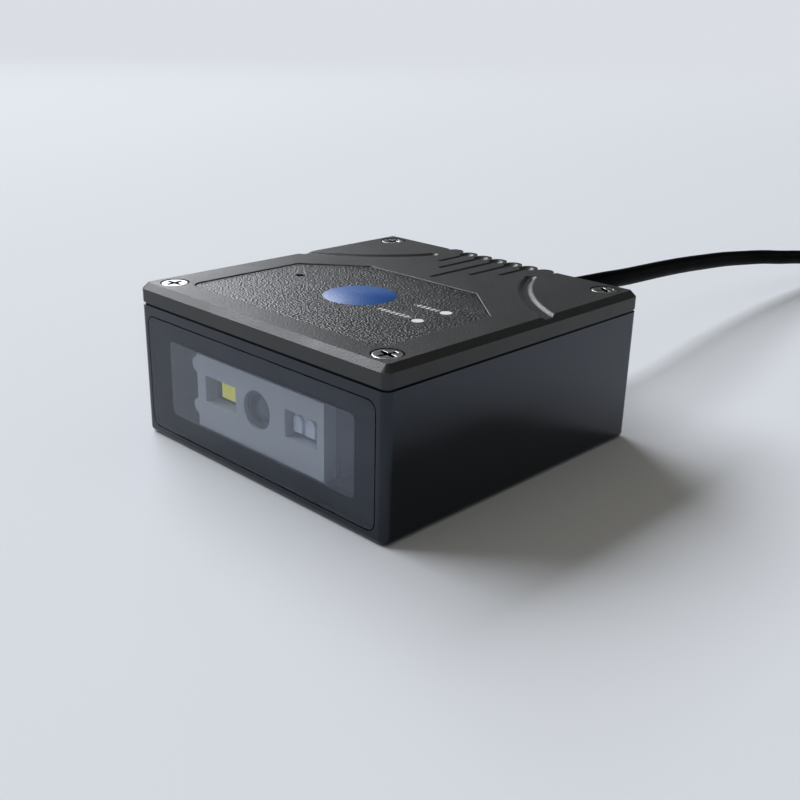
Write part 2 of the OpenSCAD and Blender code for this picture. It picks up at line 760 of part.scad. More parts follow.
// A half-round groove with a ball end in front, that runs into a dimple near the rear edge
module straight_groove(x, l) {
    ball_z = top_z + groove_r - groove_depth;
    bar_y(x, half_d - l + groove_w / 2, ball_z, groove_r, l - groove_w / 2 - dimple_inset);
    translate([x, half_d - l + groove_w / 2, ball_z]) sphere(groove_r);
    translate([x, half_d - dimple_inset, top_z + dimple_r - dimple_depth]) sphere(dimple_r);
}

// A round lobe that fills the rear chamfer behind a dimple
module edge_lobe(x) {
    translate([x, half_d - lobe_inset - lobe_w / 2, top_z - lobe_h]) cylinder(d = lobe_w, h = lobe_h);
}

// A pointed notch in the rear edge, between two dimples
module edge_notch(x) {
    translate([x, half_d, top_z - notch_depth]) linear_extrude(notch_depth + cut)
        polygon([[-notch_w / 2, 0], [0, -notch_l], [notch_w / 2, 0], [notch_w / 2, cut], [-notch_w / 2, cut]]);
}

// A shallow channel with leaning walls between two arcs, from the side edge to a round blind end at the rear
module swept_channel() {
    end_w = sweep_out_x - sweep_in_x;
    h = sweep_depth + cut;
    lean = sweep_lean * h / sweep_depth;
    translate([0, 0, top_z - sweep_depth]) {
        intersection() {
            difference() {
                translate(sweep_in_c)
                    cylinder(r1 = sweep_in_r - sweep_lean, r2 = sweep_in_r - sweep_lean + lean, h = h, $fn = 96);
                translate([sweep_out_c[0], sweep_out_c[1], -cut]) cylinder(
                    r1 = sweep_out_r + sweep_lean + lean * cut / h,
                    r2 = sweep_out_r + sweep_lean - lean - lean * cut / h, h = h + 2 * cut, $fn = 96);
            }
            translate([0, -half_d, 0]) cube([body_w, half_d + sweep_end_y, cover_h]);
        }
        translate([sweep_in_x + end_w / 2, sweep_end_y, 0])
            cylinder(r1 = end_w / 2 - sweep_lean, r2 = end_w / 2 - sweep_lean + lean, h = h);
    }
}

// Moulded lid with chamfered edges, a film recess, straight grooves and two swept channels
module top_cover() {
    color("#23272a") difference() {
        union() {
            difference() {
                cover_form();
                cover_hollow();
            }
            cover_lip();
            for (k = [-groove_side - 1:groove_side + 1]) edge_lobe(k * groove_pitch);
        }
        translate([0, 0, film_z]) linear_extrude(cover_h) film_outline(overlay_gap);
        for (k = [-groove_side:groove_side]) straight_groove(k * groove_pitch, groove_lengths[abs(k)]);
        for (side = [0, 1]) mirror([side, 0, 0]) {
            swept_channel();
            for (k = [0:groove_side + 1]) edge_notch((k + 1 / 2) * groove_pitch);
        }
        at_corners(post_x, post_y) {
            translate([0, 0, head_seat_z]) cylinder(d = counterbore_d, h = cover_h);
            translate([0, 0, base_h - lip_h - cut]) cylinder(d = pass_d, h = top_z);
        }
        for (spot = status_spots)
            translate([spot[0], spot[1], base_h]) cylinder(d = pipe_hole_d, h = cover_h);
        translate([sound_spot[0], sound_spot[1], base_h]) cylinder(d = sound_d, h = cover_h);
    }
}

// Grained film in the cover's recess, with windows for the lights and a sound hole
module overlay_film() {
    color("#34383a") translate([0, 0, film_z]) linear_extrude(overlay_t) difference() {
        film_outline(0);
        for (spot = status_spots) translate(spot) circle(d = pipe_hole_d);
        translate(sound_spot) circle(d = sound_d);
    }
}

// Four screws that hold the cover down on the posts
module cover_screws() {
    color("#c9ccd0") translate([0, 0, head_seat_z])
        at_corners(post_x, post_y) pan_screw(head_d, head_h, screw_l);
}

// Clear panel flush with the front wall
module scan_window() {
    color("#7d828c", 0.5) upright_plate(panel_w, panel_h, window_r, front_y, panel_z, window_t);
}

// Black adhesive frame between the panel and the wall
module window_frame() {
    color("#101216") difference() {
        upright_plate(panel_w, panel_h, window_r, frame_y, panel_z, gasket_t);
        upright_plate(clear_w, clear_h, clear_r, frame_y - cut, clear_z, gasket_t + 2 * cut);
    }
}

// Front face of the scan engine: openings for the lamp, the lens and the aimer
module engine_bezel() {
    color("#4a4c50") difference() {
        union() {
            box_at(0, bezel_y, engine_bottom, engine_w, bezel_t, engine_h);
            for (side = [0, 1])
                bar_y(lug_r - lug_out - engine_w / 2, bezel_y, lens_z - side * lug_pitch + lug_pitch / 2,
                    lug_r, bezel_t);
        }
        bar_y(0, bezel_y - cut, lens_z, barrel_bore / 2, bezel_t + 2 * cut);
        box_at(-lamp_x, bezel_y - cut, lens_z - opening_h / 2, lamp_opening_w, bezel_t + 2 * cut, opening_h);
        box_at(aim_x, bezel_y - cut, lens_z - opening_h / 2, aim_opening_w, bezel_t + 2 * cut, opening_h);
    }
}

// Small circuit board behind the bezel that carries the lamp and the aimer lens
module lamp_board() {
    color("#2b2d31") difference() {
        box_at(0, lamp_board_y, engine_bottom, engine_w, lamp_board_t, engine_h);
        bar_y(0, lamp_board_y - cut, lens_z, barrel_bore / 2, lamp_board_t + 2 * cut);
    }
}

// Surface-mounted white lamp with a yellow phosphor face
module illumination_lamp() {
    color("#cfc95f")
        box_at(-lamp_x, lamp_board_y - lamp_t, lens_z - lamp_h / 2, lamp_w, lamp_t, lamp_h);
}

// Clear aimer lens: a small plate with two arched facets side by side
module aimer_lens() {
    color("#b9bec6") {
        box_at(facet_x, lamp_board_y - aim_plate_t, lens_z - aim_plate_h / 2,
            aim_plate_w, aim_plate_t, aim_plate_h);
        for (side = [-1, 1])
            translate([facet_x + side * facet_pitch / 2, lamp_board_y - aim_plate_t + cut, lens_z - facet_h / 2])
                rotate([90, 0, 0]) linear_extrude(facet_t + cut) {
                    translate([-facet_w / 2, 0]) square([facet_w, facet_h - facet_w / 2]);
                    translate([0, facet_h - facet_w / 2]) circle(d = facet_w);
                }
    }
}

// Turned barrel that holds the camera lens, open to the sensor behind
module lens_barrel() {
    color("#1b1c1f") translate([0, barrel_y, lens_z]) rotate([-90, 0, 0]) rotate_extrude() {
        r = barrel_d / 2;
        stop_r = lens_r - barrel_wall;
        stop = barrel_mouth + lens_edge;
        polygon([[lens_r, 0], [r, 0], [r, barrel_l], [stop_r, barrel_l], [stop_r, stop], [lens_r, stop]]);
    }
}

// Domed glass lens on the barrel's inner shoulder
module camera_lens() {
    ball_r = ball_radius(2 * lens_r, lens_dome);
    color("#20262c") translate([0, barrel_y + barrel_mouth, lens_z]) rotate([-90, 0, 0]) {
        cylinder(r = lens_r, h = lens_edge);
        intersection() {
            translate([0, 0, ball_r - lens_dome]) sphere(ball_r);
            translate([0, 0, -lens_dome]) cylinder(r = lens_r, h = lens_dome + lens_edge / 2);
        }
    }
}

// Moulded block that carries barrel, boards and bezel, with two ears on the base's posts
module optics_chassis() {
    color("#2c2e32") difference() {
        union() {
            box_at(0, chassis_y, engine_bottom, engine_w, chassis_l, engine_h);
            for (side = [-1, 1]) {
                translate([side * ear_x, ear_y, engine_bottom]) cylinder(d = ear_w, h = ear_t);
                box_at(side * (ear_x + engine_w / 2 - cut) / 2, ear_y - ear_w / 2, engine_bottom,
                    ear_w / 2 + cut, ear_w, ear_t);
            }
        }
        bar_y(0, chassis_y - cut, lens_z, barrel_bore / 2, chassis_l);
        box_at(0, sensor_board_y - sensor_room, lens_z - sensor_pocket / 2,
            sensor_pocket, sensor_room + cut, sensor_pocket);
        for (side = [-1, 1])
            translate([side * ear_x, ear_y, engine_bottom - cut]) cylinder(d = pass_d, h = ear_t + 2 * cut);
    }
}

// Circuit board that closes the rear of the engine
module sensor_board() {
    color("#1f4a33") box_at(0, sensor_board_y, engine_bottom, engine_w, sensor_board_t, engine_h);
}

// Image sensor on the engine board, behind the lens
module image_sensor() {
    color("#3a3f4a")
        box_at(0, sensor_board_y - sensor_t, lens_z - sensor_w / 2, sensor_w, sensor_t, sensor_w);
}

// Two screws through the chassis ears
module engine_screws() {
    color("#b4b7bb") for (side = [-1, 1])
        translate([side * ear_x, ear_y, engine_bottom + ear_t])
            pan_screw(engine_head_d, small_head_h, engine_screw_l);
}

// Main circuit board on the four standoffs, cut away round the cover's posts
module main_board() {
    color("#1f4a33") translate([0, 0, board_z]) difference() {
        box_at(0, board_front, 0, 2 * board_x, board_rear - board_front, board_t);
        translate([0, 0, -cut]) {
            at_corners(post_x, post_y) cylinder(r = post_r + board_gap, h = board_t + 2 * cut);
            at_corners(standoff_x, standoff_y) cylinder(d = pass_d, h = board_t + 2 * cut);
        }
    }
}

// Four screws that hold the main board on its standoffs
module board_screws() {
    color("#b4b7bb") translate([0, 0, board_top])
        at_corners(standoff_x, standoff_y) pan_screw(board_head_d, small_head_h, board_screw_l);
}

// Decoder chip on the main board
module decoder_chip() {
    color("#24262a") box_at(0, chip_y - chip_w / 2, board_top, chip_w, chip_w, chip_t);
}

// Sounder under the cover's sound hole
module sounder() {
    color("#17181a") difference() {
        box_at(sound_spot[0], sound_spot[1] - buzzer_w / 2, board_top, buzzer_w, buzzer_w, buzzer_h);
        translate([sound_spot[0], sound_spot[1], board_top + buzzer_h / 2])
            cylinder(d = sound_d, h = buzzer_h);
    }
}

// Two status lamps on the main board
module status_lamps() {
    color("#e8e6d8") for (spot = status_spots)
        box_at(spot[0], spot[1] - status_lamp_w / 2, board_top, status_lamp_w, status_lamp_w, status_lamp_h);
}

// Twin light pipe: two frosted shafts on a bar that rests against the cover's plate
module light_pipe() {
    bar_w = pipe_d + 2 * pipe_edge;
    color("#eef0f0") {
        for (spot = status_spots)
            translate([spot[0], spot[1], pipe_bottom]) cylinder(d = pipe_d, h = film_top - pipe_bottom);
        box_at(status_x, -status_y - (status_pitch + bar_w) / 2, plate_z - pipe_bar_t,
            bar_w, status_pitch + bar_w, pipe_bar_t);
    }
}

// Ribbon socket on the rear of the engine
module engine_socket() {
    color("#d8d4c6") box_at(0, engine_rear, ribbon_z - socket_h / 2, ribbon_w + socket_t, socket_t, socket_h);
}

// Ribbon socket under the main board
module board_socket() {
    color("#d8d4c6") box_at(0, ribbon_y - socket_h / 2, board_z - socket_t, ribbon_w + socket_t, socket_h, socket_t);
}

// Flat ribbon that leaves the engine level and turns up to the main board
module flat_ribbon() {
    mid_r = ribbon_bend + ribbon_t / 2;
    turn_y = ribbon_y - mid_r;
    turn_z = ribbon_z + mid_r;
    start_y = engine_rear + socket_t;
    color("#e6e2d4") translate([-ribbon_w / 2, 0, 0]) rotate([90, 0, 90]) linear_extrude(ribbon_w) {
        translate([start_y, ribbon_z - ribbon_t / 2]) square([turn_y - start_y, ribbon_t]);
        translate([turn_y, turn_z]) intersection() {
            difference() {
                circle(ribbon_bend + ribbon_t);
                circle(ribbon_bend);
            }
            translate([0, -ribbon_bend - ribbon_t]) square(ribbon_bend + ribbon_t);
        }
        translate([ribbon_y - ribbon_t / 2, turn_z]) square([ribbon_t, board_z - socket_t - turn_z]);
    }
}

// Harness header under the main board, open to the rear
module harness_header() {
    color("#efeadb") difference() {
        box_at(0, header_rear_y - header_l, board_z - header_h, header_w, header_l, header_h);
        box_at(0, header_rear_y - plug_in, harness_z - harness_h / 2 - harness_gap,
            harness_w + 2 * harness_gap, plug_in + cut, harness_h + 2 * harness_gap);
    }
}

// Crimped harness plug seated in the header
module harness_plug() {
    color("#f4f1e6")
        box_at(0, header_rear_y - plug_in, harness_z - harness_h / 2, harness_w, plug_in + plug_out, harness_h);
}

// The lead's inner wires, from the grommet to the harness plug
module harness_wires() {
    color("#8c2f2a") for (k = [0:wire_count - 1])
        bar_y((k - (wire_count - 1) / 2) * wire_pitch, plug_rear_y, harness_z, wire_d / 2, wire_l);
}

// Soft grommet moulded on the lead, gripping the rear wall between flange and collar, with a ribbed tail
module cable_grommet() {
    neck_l = wall + 2 * grommet_clear;
    tail_y = flange_t + neck_l + collar_t;
    function taper(y) = tail_r + (tail_end_r - tail_r) * y / tail_l;
    color("#17181a") translate([0, flange_y, exit_h]) rotate([-90, 0, 0]) rotate_extrude() polygon(concat(
        [[0, 0], [flange_r, 0], [flange_r, flange_t], [neck_r, flange_t], [neck_r, flange_t + neck_l],
            [collar_r, flange_t + neck_l], [collar_r, tail_y]],
        [for (k = [0:tail_ribs - 1], step = [[0, 0], [tail_rib, 0], [tail_rib, 1], [tail_step, 1]])
            [taper(k * tail_step + step[0]) - step[1] * tail_slot_depth, tail_y + k * tail_step + step[0]]],
        [[taper(tail_l - tail_rib), tail_y + tail_l - tail_rib], [tail_end_r, tail_y + tail_l],
            [0, tail_y + tail_l]]));
}

// Four brass inserts in the underside, threaded M3
module mount_inserts() {
    color("#b5924c") at_corners(mount_x, mount_y) difference() {
        cylinder(d = insert_d, h = insert_l);
        translate([0, 0, -cut]) cylinder(d = insert_bore, h = insert_l + 2 * cut);
    }
}

// Lead from the grommet to the coil
module cable_lead() {
    color("#121316") swept_tube(lead_path, cable_r, 8);
}

// The rest of the lead, wound up: a round coil with the lead's first and last turns peeling off
module cable_coil() {
    color("#121316") {
        translate([coil_c[0], coil_c[1], tie_t]) rotate_extrude()
            translate([coil_in_r, 0]) square([coil_out_r - coil_in_r, coil_h]);
        bar_y(coil_in_x, stub_y, first_turn_z, cable_r, coil_c[1] - stub_y);
        bar_y(coil_out_x, stub_y, last_turn_z, cable_r, coil_c[1] - stub_y);
    }
}

// Two straps round the coil
module coil_ties() {
    near = sqrt(coil_in_r * coil_in_r - tie_w * tie_w / 4) - tie_gap;
    far = coil_out_r + tie_gap;
    color("#2a2b2e") translate([coil_c[0], coil_c[1], 0]) for (turn = tie_turns) rotate([0, 0, turn])
        difference() {
            translate([near - tie_t, -tie_w / 2, 0]) cube([far - near + 2 * tie_t, tie_w, coil_h + 2 * tie_t + tie_gap]);
            translate([near, -tie_w / 2 - cut, tie_t])
                cube([far - near, tie_w + 2 * cut, coil_h + tie_gap]);
        }
}

// End of the lead from the coil to the plug
module cable_tail() {
    color("#121316") swept_tube(tail_path, cable_r, 8);
}

// Moulded body of the plug with a tapered neck round the lead
module plug_grip() {
    color("#17181b") {
        translate([plug_x, grip_y, plug_z]) rotate([90, 0, 0])
            linear_extrude(grip_l) rounded_plate(grip_w, grip_h, grip_r);
        translate([plug_x, grip_y, plug_z]) rotate([-90, 0, 0])
            cylinder(h = neck_l, r1 = neck_base_r, r2 = neck_tip_r);
    }
}

// Folded metal shell of the plug with four latch windows
module plug_shell() {
    color("#c3c6ca") difference() {
        box_at(plug_x, shell_y - shell_l, plug_z - shell_h / 2, shell_w, shell_l, shell_h);
        box_at(plug_x, shell_y - shell_l - cut, plug_z - shell_h / 2 + shell_t,
            shell_w - 2 * shell_t, shell_l + 2 * cut, shell_h - 2 * shell_t);
        for (side = [-1, 1])
            box_at(plug_x + side * latch_x, shell_y - shell_l + latch_back - latch_w / 2, plug_z - shell_h,
                latch_w, latch_w, 2 * shell_h);
    }
}

// Contact tongue in the upper half of the shell
module plug_tongue() {
    color("#e9e9ea")
        box_at(plug_x, shell_y - shell_l + tongue_back, plug_z + shell_h / 2 - shell_t - tongue_t,
            shell_w - 2 * (shell_t + tongue_gap), shell_l - tongue_back, tongue_t);
}

base_housing();
top_cover();
overlay_film();
cover_screws();
scan_window();
window_frame();
engine_bezel();
lamp_board();
illumination_lamp();
aimer_lens();
lens_barrel();
camera_lens();
optics_chassis();
sensor_board();
image_sensor();
engine_screws();
main_board();
board_screws();
decoder_chip();
sounder();
status_lamps();
light_pipe();
engine_socket();
board_socket();
flat_ribbon();
harness_header();
harness_plug();
harness_wires();
cable_grommet();
mount_inserts();
cable_lead();
cable_coil();
coil_ties();
cable_tail();
plug_grip();
plug_shell();
plug_tongue();
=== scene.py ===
import math

import bmesh
import bpy
from mathutils import Matrix, Vector


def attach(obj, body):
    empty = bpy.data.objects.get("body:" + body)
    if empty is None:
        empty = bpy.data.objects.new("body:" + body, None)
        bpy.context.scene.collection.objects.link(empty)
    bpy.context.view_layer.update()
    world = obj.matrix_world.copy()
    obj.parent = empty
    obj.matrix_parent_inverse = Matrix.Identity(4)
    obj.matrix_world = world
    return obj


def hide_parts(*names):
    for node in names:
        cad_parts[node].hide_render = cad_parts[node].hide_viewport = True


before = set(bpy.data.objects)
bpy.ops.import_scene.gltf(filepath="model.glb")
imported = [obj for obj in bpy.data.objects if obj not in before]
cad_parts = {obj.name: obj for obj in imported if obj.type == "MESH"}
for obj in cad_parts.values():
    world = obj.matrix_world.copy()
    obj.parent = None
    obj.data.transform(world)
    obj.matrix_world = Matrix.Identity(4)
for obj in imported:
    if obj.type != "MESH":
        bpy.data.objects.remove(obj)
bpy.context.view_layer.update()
scene = bpy.context.scene

# The view: a camera held low over the table, about 15 cm from the reader and to the right of its window.
# Place, turn and focal length follow from the perspective of the case's edges in an 800 by 800 image.
MM = 0.001
image_width = 800
focal_pixels = 1018.46
camera_place = Vector((99.56, -100.36, 59.21)) * MM
azimuth = math.radians(44.09)
elevation = math.radians(20.90)
roll = math.radians(1.35)
backward = Vector((
    math.sin(azimuth) * math.cos(elevation), -math.cos(azimuth) * math.cos(elevation), math.sin(elevation)))
level_right = Vector((math.cos(azimuth), math.sin(azimuth), 0))
level_up = backward.cross(level_right)
view_right = level_right * math.cos(roll) + level_up * math.sin(roll)
view_up = level_up * math.cos(roll) - level_right * math.sin(roll)
camera = bpy.data.objects.new("camera", bpy.data.cameras.new("camera"))
camera.data.sensor_width = 36
camera.data.lens = camera.data.sensor_width * focal_pixels / image_width
camera.data.clip_start = 10 * MM
camera.matrix_world = (
    Matrix.Translation(camera_place) @ Matrix((view_right, view_up, backward)).transposed().to_4x4())
scene.collection.objects.link(camera)
scene.camera = camera


# The lead: a round USB cable 3.2 mm thick and about 1.5 m long, in an extruded black PVC jacket.
# It leaves the grommet level, droops to the table, and its spare length lies in a tied coil with the plug.
def linear(hex_colour):
    """An sRGB hex colour as linear RGBA."""
    channels = [int(hex_colour[i:i + 2], 16) / 255 for i in (1, 3, 5)]
    return (*(c / 12.92 if c <= 0.04045 else ((c + 0.055) / 1.055) ** 2.4 for c in channels), 1)


def add(tree, kind, settings=None, values=None, links=None):
    """Adds one node with its settings, its sockets' values and what feeds its sockets."""
    node = tree.nodes.new(kind)
    for name, value in (settings or {}).items():
        setattr(node, name, value)
    for socket, value in (values or {}).items():
        node.inputs[socket].default_value = value
    for socket, source in (links or {}).items():
        tree.links.new(source, node.inputs[socket])
    return node


def new_finish(name, colour, roughness, values=None):
    """A material with one Principled shader, and the object coordinates that its patterns read."""
    material = bpy.data.materials.new(name)
    material.use_nodes = True
    tree = material.node_tree
    surface = tree.nodes["Principled BSDF"]
    surface.inputs["Base Color"].default_value = linear(colour)
    surface.inputs["Roughness"].default_value = roughness
    for socket, value in (values or {}).items():
        surface.inputs[socket].default_value = value
    place = add(tree, "ShaderNodeTexCoord").outputs["Object"]
    return material, tree, surface, place


def grained(finish, grain, depth, smooth, rough, patch=6.0, detail=2.0):
    """Gives a finish grains of a size and depth in mm, and a roughness that wanders over patches in mm."""
    material, tree, surface, place = finish
    grains = add(tree, "ShaderNodeTexNoise", values={"Scale": 1 / (grain * MM), "Detail": detail},
                 links={"Vector": place})
    bump = add(tree, "ShaderNodeBump", values={"Strength": 1, "Distance": depth * MM},
               links={"Height": grains.outputs["Fac"]})
    tree.links.new(bump.outputs["Normal"], surface.inputs["Normal"])
    patches = add(tree, "ShaderNodeTexNoise", values={"Scale": 1 / (patch * MM), "Detail": 3},
                  links={"Vector": place})
    # The noise lies mostly between 0.3 and 0.7, so that span is spread over the two roughnesses.
    wander = add(tree, "ShaderNodeMapRange",
                 values={"From Min": 0.3, "From Max": 0.7, "To Min": smooth, "To Max": rough},
                 links={"Value": patches.outputs["Fac"]})
    tree.links.new(wander.outputs["Result"], surface.inputs["Roughness"])
    return material


cable_diameter = 3.2
lead_points = [
    (0, 34.15, 15), (0, 41, 15), (0.1, 48, 14.7), (0, 55, 14.3), (-0.6, 63, 13.6),
    (-1.3, 71, 13), (-2, 79, 12.4), (-2.5, 88, 11.7), (-2.8, 97, 10.9), (-2.9, 106, 10.1),
    (-2.7, 115, 9.1), (-2.2, 123, 8.2), (-1.4, 131, 7.1), (-0.6, 139, 6.1), (0.5, 147, 5),
    (1.5, 155, 4), (2.3, 162, 3.2), (2.8, 169, 2.6), (3, 175, 2.2), (3, 181.5, 2.2),
]
tail_points = [
    (51, 181.5, 8.6), (51, 175, 8.6), (50.4, 169, 8.2), (48.4, 162, 7), (45.5, 156, 5.5),
    (43, 149, 4.2), (42, 142, 3.8),
]
coil_centre = (27, 188)
coil_inner_turn = 14.4
coil_first_layer = 2.2
# The coil's turns as (place across, layer): each turn slips to the next place under one of the ties.
coil_places = [(3, 0), (2, 0), (1, 0), (0, 0), (0, 1), (1, 1), (1, 2), (2, 2), (2, 1), (3, 1), (3, 2)]
coil_first_slip = 300
coil_slip_span = 60
coil_end = 360 * (len(coil_places) - 1) + 180
coil_step = 20
coil_points = []
for turned in range(0, coil_end + 1, coil_step):
    slips = (turned - coil_first_slip) / 360
    turn = max(0, min(len(coil_places) - 1, math.floor(slips + 0.5)))
    share = min(1, max(0, ((slips - turn) * 360 + coil_slip_span / 2) / coil_slip_span))
    share = share * share * (3 - 2 * share)
    here = coil_places[turn]
    after = coil_places[min(turn + 1, len(coil_places) - 1)]
    across = here[0] + (after[0] - here[0]) * share
    layer = here[1] + (after[1] - here[1]) * share
    radius = coil_inner_turn + cable_diameter * across
    angle = math.radians(180 - turned)
    coil_points.append((
        coil_centre[0] + radius * math.cos(angle), coil_centre[1] + radius * math.sin(angle),
        coil_first_layer + cable_diameter * layer))
cable_curve = bpy.data.curves.new("usb_cable", "CURVE")
cable_curve.dimensions = "3D"
cable_curve.bevel_depth = cable_diameter / 2 * MM
cable_curve.bevel_resolution = 6
cable_curve.resolution_u = 6
cable_curve.use_fill_caps = True
route = lead_points + coil_points + tail_points
spline = cable_curve.splines.new("BEZIER")
spline.bezier_points.add(len(route) - 1)
for knot, place in zip(spline.bezier_points, route):
    knot.co = Vector(place) * MM
    knot.handle_left_type = "AUTO"
    knot.handle_right_type = "AUTO"
usb_cable = bpy.data.objects.new("usb_cable", cable_curve)
scene.collection.objects.link(usb_cable)
# Black PVC: deep black with hardly any shine, and faint draw marks from the extruder.
cable_jacket = new_finish("extruded black PVC jacket", "#030304", 0.6, {"Specular IOR Level": 0.02})
usb_cable.data.materials.append(grained(cable_jacket, 0.7, 0.02, 0.42, 0.56))
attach(usb_cable, "root")
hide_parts("cable_lead", "cable_coil", "cable_tail")

# The base: a tub moulded in black ABS from a polished tool, with the posts and standoffs in one piece.
# Its edges are rounded by the tool, and the rim is set back a little under the cover.
# Corners closer than this in mm are one point, and faces that lean apart by less than this are one plane.
same_point = 0.0005
same_plane = math.radians(0.3)


def merged(node, name, rims=None, rim_width=0, crease=25):
    """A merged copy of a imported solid, smooth below a crease angle, with picked rims rounded by some mm."""
    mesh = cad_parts[node].data.copy()
    mesh.materials.clear()
    shape = bmesh.new()
    shape.from_mesh(mesh)
    bmesh.ops.remove_doubles(shape, verts=shape.verts, dist=same_point * MM)
    if rims:
        bmesh.ops.dissolve_limit(shape, angle_limit=same_plane, verts=shape.verts, edges=shape.edges)
        picked = [edge for edge in shape.edges if rims(edge)]
        bmesh.ops.bevel(shape, geom=picked, offset=rim_width * MM, segments=3, profile=0.5, affect="EDGES",
                        clamp_overlap=False)
    for face in shape.faces:
        face.smooth = True
    for edge in shape.edges:
        edge.smooth = edge.calc_face_angle(0) < math.radians(crease)
    shape.to_mesh(mesh)
    shape.free()
    piece = bpy.data.objects.new(name, mesh)
    scene.collection.objects.link(piece)
    shading = piece.modifiers.new("flat faces", "WEIGHTED_NORMAL")
    shading.keep_sharp = True
    return settled(piece)


def settled(piece):
    """Turns a piece's modifiers into its plain mesh."""
    bpy.context.view_layer.update()
    evaluated = piece.evaluated_get(bpy.context.evaluated_depsgraph_get())
    mesh = bpy.data.meshes.new_from_object(evaluated, depsgraph=bpy.context.evaluated_depsgraph_get())
    piece.modifiers.clear()
    piece.data = mesh
    return piece


def dressed(piece, material, slot, *nodes):
    """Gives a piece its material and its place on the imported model."""
    piece.data.materials.clear()
    piece.data.materials.append(material)
    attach(piece, "root")
    if nodes:
        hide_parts(*nodes)
    return piece


# Satin black ABS with a trace of blue: dark and even, with soft wide reflections of the table.
case_plastic = new_finish("satin black moulded ABS", "#05060a", 0.16, {
    "Specular Tint": linear("#dbe6fa"), "IOR": 1.54})
grained(case_plastic, 0.35, 0.0015, 0.13, 0.19, patch=9)
base = merged("base_housing", "base_moulding")
dressed(base, case_plastic[0], "case_plastic", "base_housing")


# The mounting inserts: four turned brass bushes with an M3 thread, pressed into the underside with heat.
# A helix of brass stands in each bore for the thread, and the rims are rounded by a hair.
def softened(node, name, edge, segments=2, sharp=30):
    """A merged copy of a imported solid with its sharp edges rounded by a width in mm, as tools leave them."""
    piece = merged(node, name)
    shape = bmesh.new()
    shape.from_mesh(piece.data)
    bmesh.ops.dissolve_limit(shape, angle_limit=same_plane, verts=shape.verts, edges=shape.edges)
    shape.to_mesh(piece.data)
    shape.free()
    rounding = piece.modifiers.new("rounded edges", "BEVEL")
    rounding.width = edge * MM
    rounding.segments = segments
    rounding.limit_method = "ANGLE"
    rounding.angle_limit = math.radians(sharp)
    rounding.miter_outer = "MITER_ARC"
    shading = piece.modifiers.new("flat faces", "WEIGHTED_NORMAL")
    shading.keep_sharp = True
    return settled(piece)


def sized_tree(name, sizes):
    """A Geometry Nodes tree with one named input for each size, and its ends."""
    tree = bpy.data.node_groups.new(name, "GeometryNodeTree")
    tree.interface.new_socket("Geometry", in_out="OUTPUT", socket_type="NodeSocketGeometry")
    for label in sizes:
        tree.interface.new_socket(label, in_out="INPUT", socket_type="NodeSocketFloat")
    return tree, add(tree, "NodeGroupInput").outputs, add(tree, "NodeGroupOutput")


def grown(name, tree, sizes, edge=0):
    """A piece made by a tree with its sizes in mm, its edges rounded by a width in mm."""
    piece = bpy.data.objects.new(name, bpy.data.meshes.new(name))
    scene.collection.objects.link(piece)
    modifier = piece.modifiers.new(name, "NODES")
    modifier.node_group = tree
    for socket in tree.interface.items_tree:
        if socket.in_out == "INPUT":
            modifier[socket.identifier] = sizes[socket.name] * MM
    if edge:
        rounding = piece.modifiers.new("rounded edges", "BEVEL")
        rounding.width = edge * MM
        rounding.segments = 2
        rounding.limit_method = "ANGLE"
        rounding.angle_limit = math.radians(30)
        piece.modifiers.new("flat faces", "WEIGHTED_NORMAL")
    return settled(piece)


def repeated(tree, end, points, instance, material, rotation=None):
    """Ends a tree with one shape on each point, made real, in its material."""
    placed = add(tree, "GeometryNodeInstanceOnPoints", links={"Points": points, "Instance": instance})
    if rotation:
        tree.links.new(rotation, placed.inputs["Rotation"])
    solid = add(tree, "GeometryNodeRealizeInstances", links={"Geometry": placed.outputs["Instances"]})
    finished = add(tree, "GeometryNodeSetMaterial", values={"Material": material}, links={
        "Geometry": solid.outputs["Geometry"]})
    tree.links.new(finished.outputs["Geometry"], end.inputs["Geometry"])


# Turned brass: warm and bright, with a fine unevenness left by the lathe tool.
insert_brass = new_finish("turned brass", "#b58a3c", 0.3, {"Metallic": 1})
grained(insert_brass, 0.25, 0.004, 0.24, 0.38, patch=1.2)
thread_sizes = {
    "Spacing X": 37, "Spacing Y": 37, "Bore Radius": 1.25,
    "Thread Height": 2.6, "Thread Start": 0.2, "Ridge Radius": 0.16,
}
thread_turns = 5.2
tree, size, end = sized_tree("insert threads", thread_sizes)
helix = add(tree, "GeometryNodeCurveSpiral", values={"Resolution": 28, "Rotations": thread_turns}, links={
    "Start Radius": size["Bore Radius"], "End Radius": size["Bore Radius"],
    "Height": size["Thread Height"]})
ridge = add(tree, "GeometryNodeCurvePrimitiveCircle", values={"Resolution": 5}, links={
    "Radius": size["Ridge Radius"]})
thread = add(tree, "GeometryNodeCurveToMesh", values={"Fill Caps": True}, links={
    "Curve": helix.outputs["Curve"], "Profile Curve": ridge.outputs["Curve"]})
bores = add(tree, "GeometryNodeMeshGrid", values={"Vertices X": 2, "Vertices Y": 2}, links={
    "Size X": size["Spacing X"], "Size Y": size["Spacing Y"]})
thread_foot = add(tree, "ShaderNodeCombineXYZ", links={"Z": size["Thread Start"]})
bore_feet = add(tree, "GeometryNodeTransform", links={
    "Geometry": bores.outputs["Mesh"], "Translation": thread_foot.outputs["Vector"]})
repeated(tree, end, bore_feet.outputs["Geometry"], thread.outputs["Mesh"], insert_brass[0])
threads = grown("insert_thread_set", tree, thread_sizes)
dressed(threads, insert_brass[0], "insert_brass")
inserts = softened("mount_inserts", "insert_bushes", 0.15)
dressed(inserts, insert_brass[0], "insert_brass", "mount_inserts")

